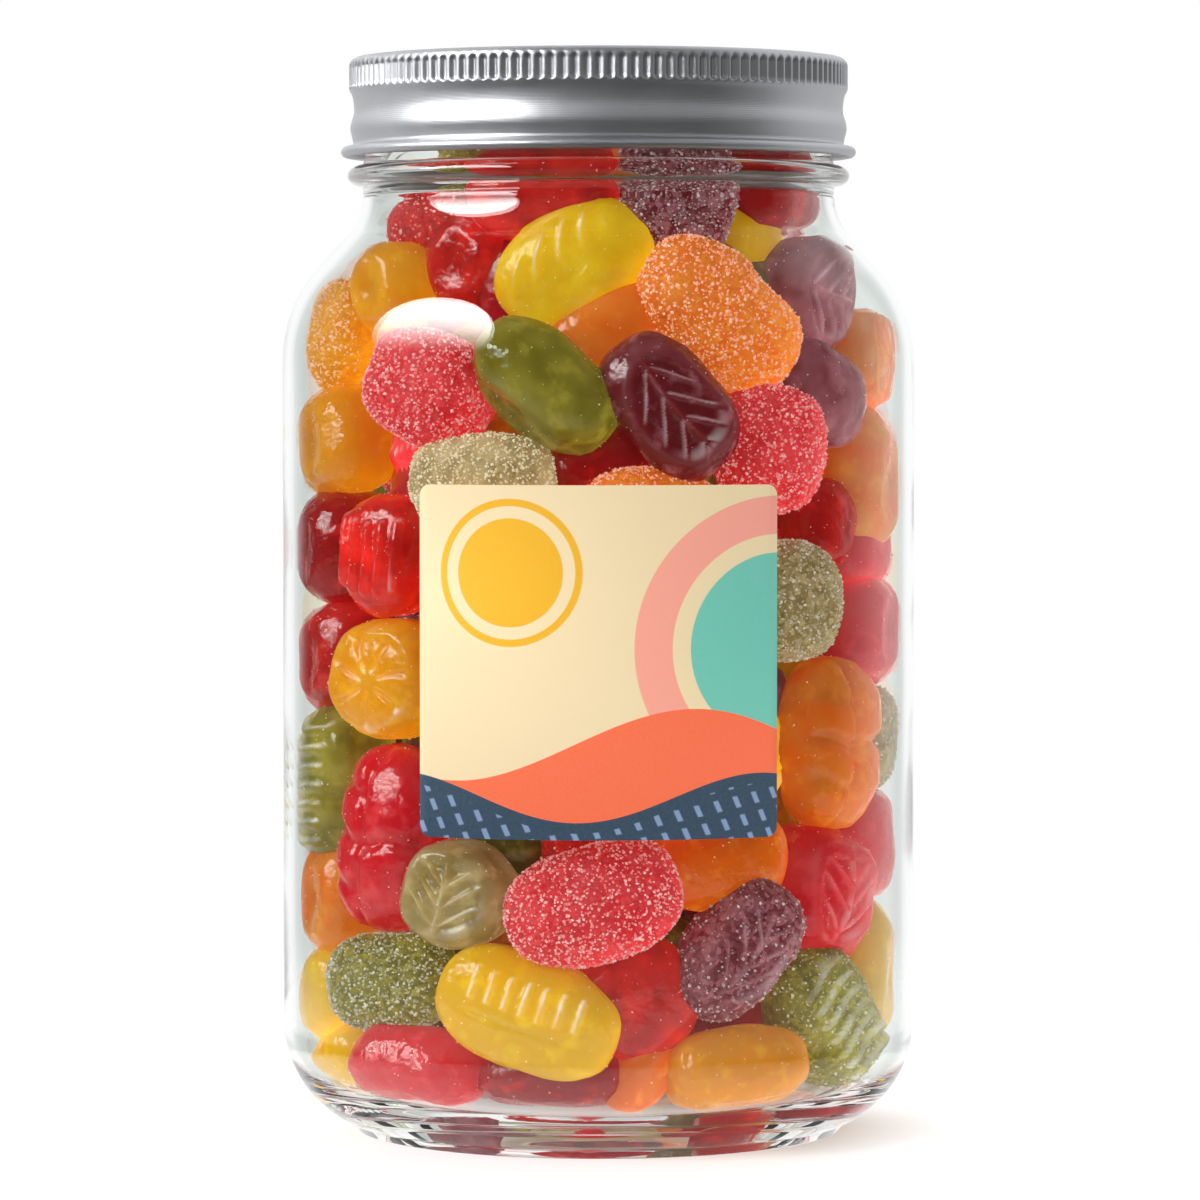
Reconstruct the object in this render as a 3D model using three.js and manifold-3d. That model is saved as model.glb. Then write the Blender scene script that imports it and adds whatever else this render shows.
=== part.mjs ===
// A clear glass jar with a screw lid, a paper label and a filling of fruit gummies.
// Units are millimetres, +Z is up, the jar stands on z = 0 and its label faces -Y.
import * as THREE from "three";
import { mergeVertices } from "three/addons/utils/BufferGeometryUtils.js";
import Module from "manifold-3d";

const wasm = await Module();
wasm.setup();

// Jar body: radius of the straight wall, glass thickness and the heights where the wall bends
const BODY_RADIUS = 50;
const GLASS = 2;
const JAR_HEIGHT = 168.3;
const WALL_TOP = 122;
const JAR_SIDES = 48;

// Shoulder: a round arc that runs into a slope, then a hollow fillet up to the neck
const SHOULDER_RADIUS = 22;
const SLOPE = THREE.MathUtils.degToRad(42);
const NECK_RADIUS = 37.3;
const NECK_FILLET = 9;

// Ring of glass under the lid, and the plain rim that the lid closes on
const RING_RADIUS = 39.7;
const RING_HEIGHT = 3.4;
const RING_MIDDLE = 151.1;
const FINISH_RADIUS = 37;
const RIM_ROUND = 0.9;

// Base: rounded heel, flat bearing ring and a shallow hollow in the middle
const HEEL_RADIUS = 17.5;
const FOOT_OUTER = 38.2;
const FOOT_INNER = 33.5;
const BASE_HOLLOW = 2.4;
const FLOOR = 5.5;
const FLOOR_HEEL = 10;

// Lid: sheet metal with a fluted grip, a waist, a bulge over the thread and a rolled bead
const LID_TOP = 169.7;
const LID_BOTTOM = 154;
const SHEET = 0.7;
const LID_CLEARANCE = 0.2;
const GRIP_RADIUS = 39.45;
const FLUTE_DEPTH = 0.6;
const FLUTES = 136;
const GRIP_TOP = 168.8;
const GRIP_BOTTOM = 164.6;
const LID_WAIST = 38.6;
const LID_BULGE = 39.2;
const BEAD_RADIUS = 40.7;
const PANEL_RADIUS = 35.5;
const PANEL_DROP = 0.7;

// Label: its width along the curve, height, middle above the table, corners and paper
const LABEL_WIDTH = 56.8;
const LABEL_HEIGHT = 53.4;
const LABEL_MIDDLE = 76.5;
const LABEL_CORNER = 1.7;
const LABEL_PAPER = 0.2;
const LABEL_GAP = 0.1;
const LABEL_COLUMNS = 24;
const CORNER_COLUMNS = 3;

// Gummies: half length, half width and half thickness of each moulded form, and how square
// its plan and its edge are (2 is an ellipse, more is squarer)
const FORMS = {
  oval: { half: [12.6, 8.5, 6.8], plan: 2.6, edge: 2.6 },
  round: { half: [9.8, 9.4, 7], plan: 2.2, edge: 2.8 },
  block: { half: [10, 8.8, 7.6], plan: 3.2, edge: 3 },
};
const FORM_NAMES = Object.keys(FORMS);
const UNEVEN = 0.05;
const GUMMY_SIDES = 8;
const GUMMY_STEPS = 4;
// The plain core that the gummies are joined to
const CORE_RADIUS = 38;
const CORE_SIDES = 16;

// Placing: the gap to the glass, the share of a gummy that others may not enter, the step of a
// move, the sides and steps of the points that are tested, and the seed of the draws
const GLASS_GAP = 0.3;
const SQUEEZE = 0.82;
const NUDGE = 0.5;
const TEST_SIDES = 16;
const TEST_STEPS = 8;
const SEED = 11;

// The gummies of the front. Each has its bearing in degrees from the label's middle, its
// height, how far it lies back from the glass, the turn of its length from level, its roll,
// its form and its size. Their faces turn from the glass to the front by a share.
const FRONT_FACING = 0.78;
const FRONT_GUMMIES = [
  [-7, 136, 0, 35, 0, "oval", 0.97],
  [31, 128.5, 0, -38, 0, "oval", 1.06],
  [-12, 118, 0, -40, 62, "oval", 1.02],
  [15, 115, 1, -52, 0, "oval", 0.92],
  [-42, 117.5, 1, -25, 0, "block", 0.98],
  [69, 132, 0, -15, 0, "round", 0.9],
  [42, 108.5, 2, 80, 0, "round", 0.98],
  [-27, 103, 2, 3, 55, "oval", 0.98],
  [-82, 109.5, 0, 10, 0, "block", 0.94],
  [-52, 92, 1, 84, 0, "round", 0.96],
  [-52, 73, 1, 84, 0, "round", 1],
  [64, 62.5, 1, 86, 0, "oval", 1.02],
  [47, 85, 2, 88, 0, "round", 0.98],
  [82, 103.5, 0, 84, 0, "oval", 0.98],
  [-53, 48, 1, 82, 0, "oval", 1.12],
  [-32, 40.5, 1, 75, 0, "round", 0.9],
  [-1, 39.5, 0, 18, 0, "oval", 1.02],
  [31, 32, 0, 52, 0, "oval", 0.94],
  [62, 39, 2, 75, 0, "block", 1.04],
  [-15, 22.7, 0, -18, 0, "oval", 1.06],
  [-52, 26, 1, 8, 0, "oval", 0.9],
  [60, 20, 1, -52, 0, "oval", 0.96],
  [32, 13, 0, 4, 60, "oval", 0.9],
  [-44, 12.9, 0, -4, 60, "oval", 0.9],
  [-80, 55.5, 0, 80, 0, "oval", 1.02],
  [-82, 92.5, 0, 86, 0, "block", 0.95],
  [-80, 75.5, 0, 10, 0, "block", 0.9],
  [-80, 37.5, 0, 70, 0, "round", 0.95],
  [9, 25, 4, -50, 0, "round", 1],
  [29, 45.5, 4, 8, 0, "oval", 0.85],
  [-62, 133, 0, 20, 0, "round", 0.74],
  [-82, 126, 0, 70, 0, "oval", 0.72],
  [-42, 137, 3, 55, 0, "round", 0.74],
  [86, 122.5, 0, 80, 0, "round", 0.86],
  [82, 80, 0, 86, 0, "block", 0.92],
  [84, 91.5, 0, 0, 0, "oval", 0.72],
  [84, 62.5, 0, 86, 0, "oval", 0.72],
  [84, 46, 0, 86, 0, "block", 0.85],
  [84, 25, 0, 86, 0, "oval", 0.98],
  [58, 117, 3, -30, 0, "oval", 0.82],
  [2, 126.5, 9, 30, 0, "oval", 0.72],
  [1, 105, 9, 20, 0, "oval", 0.75],
  [12, 98, 3, 0, 0, "oval", 0.85],
  [-80, 22.5, 0, 80, 0, "round", 0.72],
  [-78, 12.1, 0, 20, 40, "oval", 0.66],
  [-11, 12.6, 3, 0, 60, "oval", 0.85],
  [9, 12.9, 3, 60, 40, "oval", 0.6],
  [60, 138, 5, 0, 0, "round", 0.82],
  [-60, 142, 1, 0, 0, "oval", 0.7],
  [25, 146, 0, 80, 0, "block", 1],
  [-17, 148, 0, 10, 0, "oval", 0.9],
  [74, 147, 0, 5, 0, "oval", 0.85],
  [66, 97, 5, 0, 0, "round", 0.7],
];

// The rest of the wall: rows of gummies all round, at one spacing and half a step apart in
// turn, pushed back from the glass until they clear their neighbours
const ROW_FIRST = 14;
const ROW_STEP = 15.5;
const ROWS = 9;
const ROW_COUNT = 13;
const LEAST_RADIUS = 27;
// Rings of gummies laid flat on the floor and on top, with their distance from the axis
const FLOOR_RING = { count: 5, radius: 19, height: FLOOR + 7.4 };
const TOP_RING = { count: 4, radius: 17, height: 152 };

// Points along an arc of a lathe profile, from one angle to another, both ends included
function arc(radius, height, size, from, to, steps) {
  const points = [];
  for (let i = 0; i <= steps; i++) {
    const angle = from + ((to - from) * i) / steps;
    points.push([radius + size * Math.cos(angle), height + size * Math.sin(angle)]);
  }
  return points;
}

// A solid of revolution about Z from [radius, height] points
function turned(points, sides) {
  const profile = points.map(([radius, height]) => new THREE.Vector2(Math.max(radius, 0), height));
  return new THREE.LatheGeometry(profile, sides).rotateX(Math.PI / 2);
}

// A three.js geometry as a solid that can be joined and cut
function solid(geometry) {
  const bare = geometry.index ? geometry.toNonIndexed() : geometry.clone();
  bare.deleteAttribute("normal");
  bare.deleteAttribute("uv");
  const merged = mergeVertices(bare, 1e-4);
  return new wasm.Manifold(
    new wasm.Mesh({
      numProp: 3,
      vertProperties: merged.attributes.position.array,
      triVerts: new Uint32Array(merged.index.array),
    }),
  );
}

// The outermost closed surface of a solid, with sealed hollows filled and loose scraps dropped
function outerShell(joined) {
  return joined.decompose().reduce((best, body) => (body.volume() > best.volume() ? body : best));
}

// A joined or cut solid as a three.js geometry
function geometryOf(joined) {
  const mesh = joined.getMesh();
  const geometry = new THREE.BufferGeometry();
  geometry.setAttribute("position", new THREE.BufferAttribute(mesh.vertProperties, mesh.numProp));
  geometry.setIndex(new THREE.BufferAttribute(mesh.triVerts, 1));
  geometry.computeVertexNormals();
  return geometry;
}

const SHOULDER_CENTRE = BODY_RADIUS - SHOULDER_RADIUS;
const FILLET_CENTRE = NECK_RADIUS + NECK_FILLET;
const slopeStart = SHOULDER_CENTRE + SHOULDER_RADIUS * Math.cos(SLOPE);
const slopeEnd = FILLET_CENTRE - NECK_FILLET * Math.cos(SLOPE);
const slopeTop =
  WALL_TOP + SHOULDER_RADIUS * Math.sin(SLOPE) + (slopeStart - slopeEnd) / Math.tan(SLOPE);
const NECK_BOTTOM = slopeTop + NECK_FILLET * Math.sin(SLOPE);
const INNER_RADIUS = BODY_RADIUS - GLASS;
const NECK_INNER = NECK_RADIUS - GLASS;

// Glass jar: base, heel, wall, shoulder, neck ring and rim outside, then the same inside
function jarGeometry() {
  const heelStart = Math.acos((FOOT_OUTER + 1 - (BODY_RADIUS - HEEL_RADIUS)) / HEEL_RADIUS);
  const profile = [
    [0, BASE_HOLLOW],
    [FOOT_INNER - 7, BASE_HOLLOW * 0.8],
    [FOOT_INNER, 0],
    [FOOT_OUTER, 0],
    ...arc(BODY_RADIUS - HEEL_RADIUS, HEEL_RADIUS, HEEL_RADIUS, -heelStart, 0, 5),
    ...arc(SHOULDER_CENTRE, WALL_TOP, SHOULDER_RADIUS, 0, SLOPE, 3),
    ...arc(FILLET_CENTRE, NECK_BOTTOM, NECK_FILLET, Math.PI + SLOPE, Math.PI, 3),
    ...ringProfile(4),
    [FINISH_RADIUS, RING_MIDDLE + RING_HEIGHT / 2 + 0.6],
    [FINISH_RADIUS, JAR_HEIGHT - RIM_ROUND],
    [FINISH_RADIUS - RIM_ROUND, JAR_HEIGHT],
    [NECK_INNER + RIM_ROUND / 2, JAR_HEIGHT],
    [NECK_INNER, JAR_HEIGHT - RIM_ROUND],
    ...arc(FILLET_CENTRE, NECK_BOTTOM, NECK_FILLET + GLASS, Math.PI, Math.PI + SLOPE, 3),
    ...arc(SHOULDER_CENTRE, WALL_TOP, SHOULDER_RADIUS - GLASS, SLOPE, 0, 4),
    ...arc(INNER_RADIUS - FLOOR_HEEL, FLOOR + FLOOR_HEEL, FLOOR_HEEL, 0, -Math.PI / 2, 5),
    [0, FLOOR],
  ];
  return turned(profile, JAR_SIDES);
}

// Half round outline of the glass ring, from its foot to its top
function ringProfile(steps) {
  const depth = RING_RADIUS - NECK_RADIUS;
  return arc(0, 0, 1, -Math.PI / 2, Math.PI / 2, steps).map(([out, up]) => [
    NECK_RADIUS + depth * out,
    RING_MIDDLE + (RING_HEIGHT / 2) * up,
  ]);
}

// Lid: a turned shell with the fluted grip joined on
function lidGeometry() {
  const inner = LID_WAIST - SHEET;
  const bead = (GRIP_BOTTOM - LID_BOTTOM) * 0.1;
  const shell = turned(
    [
      [0, LID_TOP - PANEL_DROP],
      [PANEL_RADIUS, LID_TOP - PANEL_DROP],
      [PANEL_RADIUS + PANEL_DROP, LID_TOP],
      [GRIP_RADIUS - FLUTE_DEPTH - 1.2, LID_TOP],
      [GRIP_RADIUS - FLUTE_DEPTH - 0.2, GRIP_TOP],
      [GRIP_RADIUS - FLUTE_DEPTH - 0.2, GRIP_BOTTOM],
      [LID_WAIST, GRIP_BOTTOM - 3.2],
      [LID_WAIST, GRIP_BOTTOM - 4.2],
      [LID_BULGE, LID_BOTTOM + 5],
      [LID_BULGE, LID_BOTTOM + 3.6],
      [LID_WAIST + 0.2, LID_BOTTOM + 2.2],
      [BEAD_RADIUS - bead, LID_BOTTOM + 2 * bead],
      [BEAD_RADIUS, LID_BOTTOM + bead],
      [BEAD_RADIUS - bead, LID_BOTTOM],
      [inner + 0.4, LID_BOTTOM],
      [inner, LID_BOTTOM + 2],
      [inner, JAR_HEIGHT + LID_CLEARANCE],
      [0, JAR_HEIGHT + LID_CLEARANCE],
    ].reverse(),
    JAR_SIDES,
  );
  const grip = new THREE.Shape();
  for (let i = 0; i < 2 * FLUTES; i++) {
    const angle = (Math.PI * i) / FLUTES;
    const radius = i % 2 ? GRIP_RADIUS : GRIP_RADIUS - FLUTE_DEPTH;
    const x = radius * Math.cos(angle);
    const y = radius * Math.sin(angle);
    if (i === 0) grip.moveTo(x, y);
    else grip.lineTo(x, y);
  }
  grip.closePath();
  const ring = new THREE.ExtrudeGeometry(grip, {
    depth: GRIP_TOP - GRIP_BOTTOM,
    bevelEnabled: false,
  }).translate(0, 0, GRIP_BOTTOM);
  const bore = turned(
    [
      [0, GRIP_BOTTOM - 1],
      [GRIP_RADIUS - FLUTE_DEPTH - SHEET, GRIP_BOTTOM - 1],
      [GRIP_RADIUS - FLUTE_DEPTH - SHEET, GRIP_TOP + 1],
      [0, GRIP_TOP + 1],
    ],
    JAR_SIDES,
  );
  return geometryOf(solid(shell).add(solid(ring).subtract(solid(bore))));
}

// Label: thin upright sections, shorter at the rounded corners, swept round the glass
function labelGeometry() {
  const inner = BODY_RADIUS + LABEL_GAP;
  const outer = inner + LABEL_PAPER;
  const half = LABEL_WIDTH / 2;
  const places = [];
  for (let i = 0; i <= CORNER_COLUMNS; i++) {
    places.push(-half + LABEL_CORNER * (1 - Math.cos((Math.PI / 2) * (i / CORNER_COLUMNS))));
  }
  for (let i = 1; i <= LABEL_COLUMNS; i++) {
    places.push(-half + LABEL_CORNER + ((LABEL_WIDTH - 2 * LABEL_CORNER) * i) / LABEL_COLUMNS);
  }
  for (let i = CORNER_COLUMNS - 1; i >= 0; i--) places.push(-places[i]);
  const points = [];
  for (const along of places) {
    const into = Math.max(Math.abs(along) - (half - LABEL_CORNER), 0);
    const cut = LABEL_CORNER - Math.sqrt(Math.max(LABEL_CORNER ** 2 - into ** 2, 0));
    const angle = along / BODY_RADIUS;
    for (const [radius, side] of [
      [inner, -1],
      [outer, -1],
      [outer, 1],
      [inner, 1],
    ]) {
      const height = LABEL_MIDDLE + side * (LABEL_HEIGHT / 2 - cut);
      points.push(radius * Math.sin(angle), -radius * Math.cos(angle), height);
    }
  }
  const faces = [0, 1, 2, 0, 2, 3];
  for (let column = 0; column + 1 < places.length; column++) {
    for (let edge = 0; edge < 4; edge++) {
      const a = 4 * column + edge;
      const b = 4 * column + ((edge + 1) % 4);
      faces.push(a, a + 4, b, b, a + 4, b + 4);
    }
  }
  const last = 4 * (places.length - 1);
  faces.push(last, last + 2, last + 1, last, last + 3, last + 2);
  const geometry = new THREE.BufferGeometry();
  geometry.setAttribute("position", new THREE.Float32BufferAttribute(points, 3));
  geometry.setIndex(faces);
  geometry.computeVertexNormals();
  return geometry;
}

// The largest radius that is free inside the glass at a height
function insideRadius(height) {
  if (height < FLOOR) return 0;
  if (height < FLOOR + FLOOR_HEEL) {
    const below = FLOOR + FLOOR_HEEL - height;
    return INNER_RADIUS - FLOOR_HEEL + Math.sqrt(FLOOR_HEEL ** 2 - below ** 2);
  }
  if (height < WALL_TOP) return INNER_RADIUS;
  const inside = SHOULDER_RADIUS - GLASS;
  const arcTop = WALL_TOP + inside * Math.sin(SLOPE);
  if (height < arcTop) return SHOULDER_CENTRE + Math.sqrt(inside ** 2 - (height - WALL_TOP) ** 2);
  const slope = SHOULDER_CENTRE + inside * Math.cos(SLOPE) - (height - arcTop) * Math.tan(SLOPE);
  return Math.max(slope, NECK_INNER);
}

// A repeatable stream of numbers from 0 to 1
function seeded(seed) {
  let state = seed;
  return () => {
    state = (state * 16807) % 2147483647;
    return state / 2147483647;
  };
}

// A gummy's place: its bearing and distance from the axis give its centre, and its length,
// width and thickness point along three unit axes. Each is a little larger or smaller each way
// than the next by its number.
function gummy(number, bearing, facing, height, turn, roll, form, size) {
  const [b, f, t, r] = [bearing, facing, turn, roll].map(THREE.MathUtils.degToRad);
  const out = new THREE.Vector3(Math.sin(b), -Math.cos(b), 0);
  const look = new THREE.Vector3(Math.sin(f), -Math.cos(f), 0);
  const level = new THREE.Vector3(Math.cos(f), Math.sin(f), 0);
  const up = new THREE.Vector3(0, 0, 1);
  const mix = (p, a, q, c) => p.clone().multiplyScalar(a).addScaledVector(q, c);
  const length = mix(level, Math.cos(t), up, Math.sin(t));
  const across = mix(up, Math.cos(t), level, -Math.sin(t));
  const width = mix(across, Math.cos(r), look, Math.sin(r));
  const face = mix(look, Math.cos(r), across, -Math.sin(r));
  const { half, plan, edge } = FORMS[form];
  const own = half.map((h, k) => h * size * (1 + UNEVEN * Math.sin(2.4 * number + 2.1 * k)));
  return { out, height, radius: INNER_RADIUS, axes: [length, width, face], half: own, plan, edge };
}

function centreOf(piece) {
  return piece.out.clone().multiplyScalar(piece.radius).setZ(piece.height);
}

// How far out a direction of a unit sphere lies on the rounded form, as a share of its halves
function reach([x, y, z], plan, edge) {
  const flat = Math.abs(x) ** plan + Math.abs(y) ** plan;
  return (flat ** (edge / plan) + Math.abs(z) ** edge) ** (-1 / edge);
}

// Points of a gummy's surface, along its length and round it
function surface(piece) {
  const centre = centreOf(piece);
  const points = [];
  for (let i = 0; i <= TEST_STEPS; i++) {
    const lean = (Math.PI * i) / TEST_STEPS;
    for (let j = 0; j < TEST_SIDES; j++) {
      const spin = (2 * Math.PI * j) / TEST_SIDES;
      const way = [
        Math.cos(lean),
        Math.sin(lean) * Math.cos(spin),
        Math.sin(lean) * Math.sin(spin),
      ];
      const far = reach(way, piece.plan, piece.edge);
      const point = centre.clone();
      way.forEach((part, k) => point.addScaledVector(piece.axes[k], part * far * piece.half[k]));
      points.push(point);
    }
  }
  return points;
}

function insideGlass(points) {
  return points.every((p) => Math.hypot(p.x, p.y) <= insideRadius(p.z) - GLASS_GAP);
}

// True where a point lies in a gummy by more than soft sweets squeeze
function pokes(point, piece) {
  const offset = point.clone().sub(centreOf(piece));
  const [x, y, z] = piece.axes.map((axis, k) => offset.dot(axis) / (piece.half[k] * SQUEEZE));
  return reach([x, y, z], piece.plan, piece.edge) > 1;
}

// Moves a gummy in from the glass until it clears the wall
function leanOnGlass(piece) {
  for (piece.points = surface(piece); piece.radius > 0; piece.points = surface(piece)) {
    if (insideGlass(piece.points)) return;
    piece.radius -= NUDGE;
  }
}

// Moves a gummy on until it clears the ones placed before it, or leaves it out
function nestle(piece, placed) {
  const near = placed.filter((other) => centreOf(other).distanceTo(centreOf(piece)) < 50);
  for (leanOnGlass(piece); piece.radius >= LEAST_RADIUS; piece.radius -= NUDGE) {
    piece.points = surface(piece);
    const clear = near.every(
      (other) =>
        !piece.points.some((p) => pokes(p, other)) && !other.points.some((p) => pokes(p, piece)),
    );
    if (clear) {
      placed.push(piece);
      return;
    }
  }
}

// Every gummy that shows: the front by hand, the rest of the wall by rows, floor and top by rings
function fillJar() {
  const random = seeded(SEED);
  const spread = (size) => size * (2 * random() - 1);
  const placed = [];
  let number = 0;
  for (const [bearing, height, back, turn, roll, form, size] of FRONT_GUMMIES) {
    const facing = FRONT_FACING * bearing;
    const piece = gummy(number++, bearing, facing, height, turn, roll, form, size);
    leanOnGlass(piece);
    piece.radius -= back;
    piece.points = surface(piece);
    placed.push(piece);
  }
  for (let row = 0; row < ROWS; row++) {
    for (let i = 0; i < ROW_COUNT; i++) {
      const bearing = ((i + (row % 2) / 2) * 360) / ROW_COUNT + spread(5);
      const height = ROW_FIRST + row * ROW_STEP + spread(2.5);
      const turn = 180 * random();
      const roll = spread(40);
      const form = FORM_NAMES[Math.floor(random() * FORM_NAMES.length)];
      nestle(gummy(number++, bearing, bearing, height, turn, roll, form, 1), placed);
    }
  }
  for (const { count, radius, height } of [FLOOR_RING, TOP_RING]) {
    for (let i = 0; i < count; i++) {
      const bearing = (360 * i) / count + spread(8);
      const piece = gummy(number++, bearing, bearing, height, spread(10), -90, "oval", 1);
      piece.radius = radius;
      placed.push(piece);
    }
  }
  return placed;
}

// One gummy with few sides, its poles at the ends of its length
function gummyGeometry(piece) {
  const geometry = new THREE.SphereGeometry(1, GUMMY_SIDES, GUMMY_STEPS);
  const position = geometry.getAttribute("position");
  const centre = centreOf(piece);
  const point = new THREE.Vector3();
  for (let i = 0; i < position.count; i++) {
    const way = [position.getY(i), position.getZ(i), position.getX(i)];
    const far = reach(way, piece.plan, piece.edge);
    point.copy(centre);
    way.forEach((part, k) => point.addScaledVector(piece.axes[k], part * far * piece.half[k]));
    position.setXYZ(i, point.x, point.y, point.z);
  }
  return geometry;
}

// The filling: a core that stands on the floor, with the gummies that show joined to it
function fillingGeometry() {
  const core = turned(
    [
      [0, FLOOR + 3],
      [CORE_RADIUS - 6, FLOOR + 3],
      [CORE_RADIUS, FLOOR + 10],
      [CORE_RADIUS, WALL_TOP + 6],
      [NECK_INNER - 8, NECK_BOTTOM - 6],
      [NECK_INNER - 10, NECK_BOTTOM + 4],
      [0, NECK_BOTTOM + 4],
    ],
    CORE_SIDES,
  );
  const pieces = fillJar().map((piece) => solid(gummyGeometry(piece)));
  return geometryOf(outerShell(wasm.Manifold.union([solid(core), ...pieces])));
}

const FINISHES = {
  jar: { color: 0xf2f7f4, roughness: 0.05, metalness: 0, transparent: true, opacity: 0.3 },
  lid: { color: 0xb9bbbf, roughness: 0.35, metalness: 1 },
  label: { color: 0xf0e4ca, roughness: 0.8, metalness: 0 },
  gummies: { color: 0xd9541e, roughness: 0.35, metalness: 0 },
};

function mesh(name, geometry) {
  const made = new THREE.Mesh(geometry, new THREE.MeshStandardMaterial(FINISHES[name]));
  made.name = name;
  return made;
}

const jarOfGummies = new THREE.Group();
jarOfGummies.add(
  mesh("jar", jarGeometry()),
  mesh("lid", lidGeometry()),
  mesh("label", labelGeometry()),
  mesh("gummies", fillingGeometry()),
);

export default jarOfGummies;
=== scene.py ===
"""Looks of a shut glass jar of fruit gummies.

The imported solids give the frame. The glass, the lid, the label and the sweets are modelled here in
the same places, in millimetres, and written as meshes in metres. +Z is up and the label faces -Y.
"""

from __future__ import annotations

import itertools
import logging
import math
from collections import defaultdict
from collections.abc import Callable, Iterable, Iterator, Mapping, Sequence
from dataclasses import dataclass, field
from enum import Enum
from typing import TypeVar

import bpy
import numpy as np
from mathutils import Euler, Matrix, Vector


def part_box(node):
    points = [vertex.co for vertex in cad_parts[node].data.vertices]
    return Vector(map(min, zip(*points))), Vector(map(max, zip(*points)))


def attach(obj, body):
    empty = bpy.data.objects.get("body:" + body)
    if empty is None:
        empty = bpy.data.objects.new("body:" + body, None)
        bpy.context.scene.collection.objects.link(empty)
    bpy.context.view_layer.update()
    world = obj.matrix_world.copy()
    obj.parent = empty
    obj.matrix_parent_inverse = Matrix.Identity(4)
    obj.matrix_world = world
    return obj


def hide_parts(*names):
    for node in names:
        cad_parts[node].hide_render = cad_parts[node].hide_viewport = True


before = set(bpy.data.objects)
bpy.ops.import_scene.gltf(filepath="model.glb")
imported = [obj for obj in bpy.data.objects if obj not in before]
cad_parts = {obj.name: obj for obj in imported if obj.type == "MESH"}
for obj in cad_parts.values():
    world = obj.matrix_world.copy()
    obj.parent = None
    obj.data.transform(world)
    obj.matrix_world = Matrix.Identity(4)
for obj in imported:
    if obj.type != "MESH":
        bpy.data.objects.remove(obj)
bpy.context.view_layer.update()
MM = 0.001
BODY = "root"
TINT = "tint"
LOG = logging.getLogger("jar_of_gummies")
WHITE = (1, 1, 1, 1)
BLACK = (0, 0, 0, 1)

Socket = bpy.types.NodeSocket
Array = np.ndarray
Pair = tuple[float, float]
Spot = tuple[float, float, float]
Outline = Sequence[Pair]
Part = tuple[Array, Array, Array]
Values = Mapping[str | int, object]
Choice = TypeVar("Choice")


def colour(code: str) -> tuple[float, float, float, float]:
    """Turns a hex colour as seen on screen into linear light.

    Args:
        code: Six hex digits after a hash.

    Returns:
        Red, green, blue and an alpha of one.
    """
    shown = [int(code[i : i + 2], 16) / 255 for i in (1, 3, 5)]
    light = [c / 12.92 if c <= 0.04045 else ((c + 0.055) / 1.055) ** 2.4 for c in shown]
    return (*light, 1.0)


def ease(low: float, high: float, value: Array) -> Array:
    """Rises smoothly from 0 at low to 1 at high.

    Args:
        low: Where the rise starts.
        high: Where it ends.
        value: Places to read.

    Returns:
        The height of the rise at each place.
    """
    share = np.clip((value - low) / (high - low), 0, 1)
    return share * share * (3 - 2 * share)


def fade(low: float, high: float, value: Array) -> Array:
    """Falls smoothly from 1 at low to 0 at high."""
    return 1 - ease(low, high, value)


def hump(value: Array, width: float) -> Array:
    """A smooth bump of height one round zero, as wide as width to each side."""
    return np.exp(-((value / width) ** 2))


class Signal:
    """A number that varies over a surface. Arithmetic on it adds Math nodes."""

    def __init__(self, dress: Dress, socket: Socket) -> None:
        """Keeps the socket and the material that it belongs to."""
        self.dress = dress
        self.socket = socket

    def math(self, operation: str, *values: Signal | float, clamp: bool = False) -> Signal:
        """Adds one Math node.

        Args:
            operation: The node's operation.
            values: What goes into its sockets, in order.
            clamp: Whether the result stays from 0 to 1.

        Returns:
            The node's result.
        """
        made = self.dress.node(
            "ShaderNodeMath",
            {"operation": operation, "use_clamp": clamp},
            dict(enumerate(values)),
        )
        return Signal(self.dress, made.outputs[0])

    def __add__(self, other: Signal | float) -> Signal:
        """Sum."""
        return self.math("ADD", self, other)

    def __sub__(self, other: Signal | float) -> Signal:
        """Difference."""
        return self.math("SUBTRACT", self, other)

    def __rsub__(self, other: float) -> Signal:
        """A plain number less this."""
        return self.math("SUBTRACT", other, self)

    def __mul__(self, other: Signal | float) -> Signal:
        """Product."""
        return self.math("MULTIPLY", self, other)

    def __truediv__(self, other: Signal | float) -> Signal:
        """Quotient."""
        return self.math("DIVIDE", self, other)

    def __pow__(self, other: float) -> Signal:
        """Power."""
        return self.math("POWER", self, other)

    def __abs__(self) -> Signal:
        """Size without sign."""
        return self.math("ABSOLUTE", self)

    def above(self, level: Signal | float, soft: float) -> Signal:
        """A mask of 1 where this is over a level, with an edge as wide as soft."""
        return self.math("MULTIPLY_ADD", self - level, 1 / soft, 0.5, clamp=True)

    def below(self, level: Signal | float, soft: float) -> Signal:
        """A mask of 1 where this is under a level, with an edge as wide as soft."""
        return 1 - self.above(level, soft)

    def most(self, other: Signal | float) -> Signal:
        """The larger of this and another."""
        return self.math("MAXIMUM", self, other)

    def sine(self) -> Signal:
        """Sine of this, in radians."""
        return self.math("SINE", self)

    def part(self) -> Signal:
        """What is left after the whole number."""
        return self.math("FRACT", self)


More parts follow.
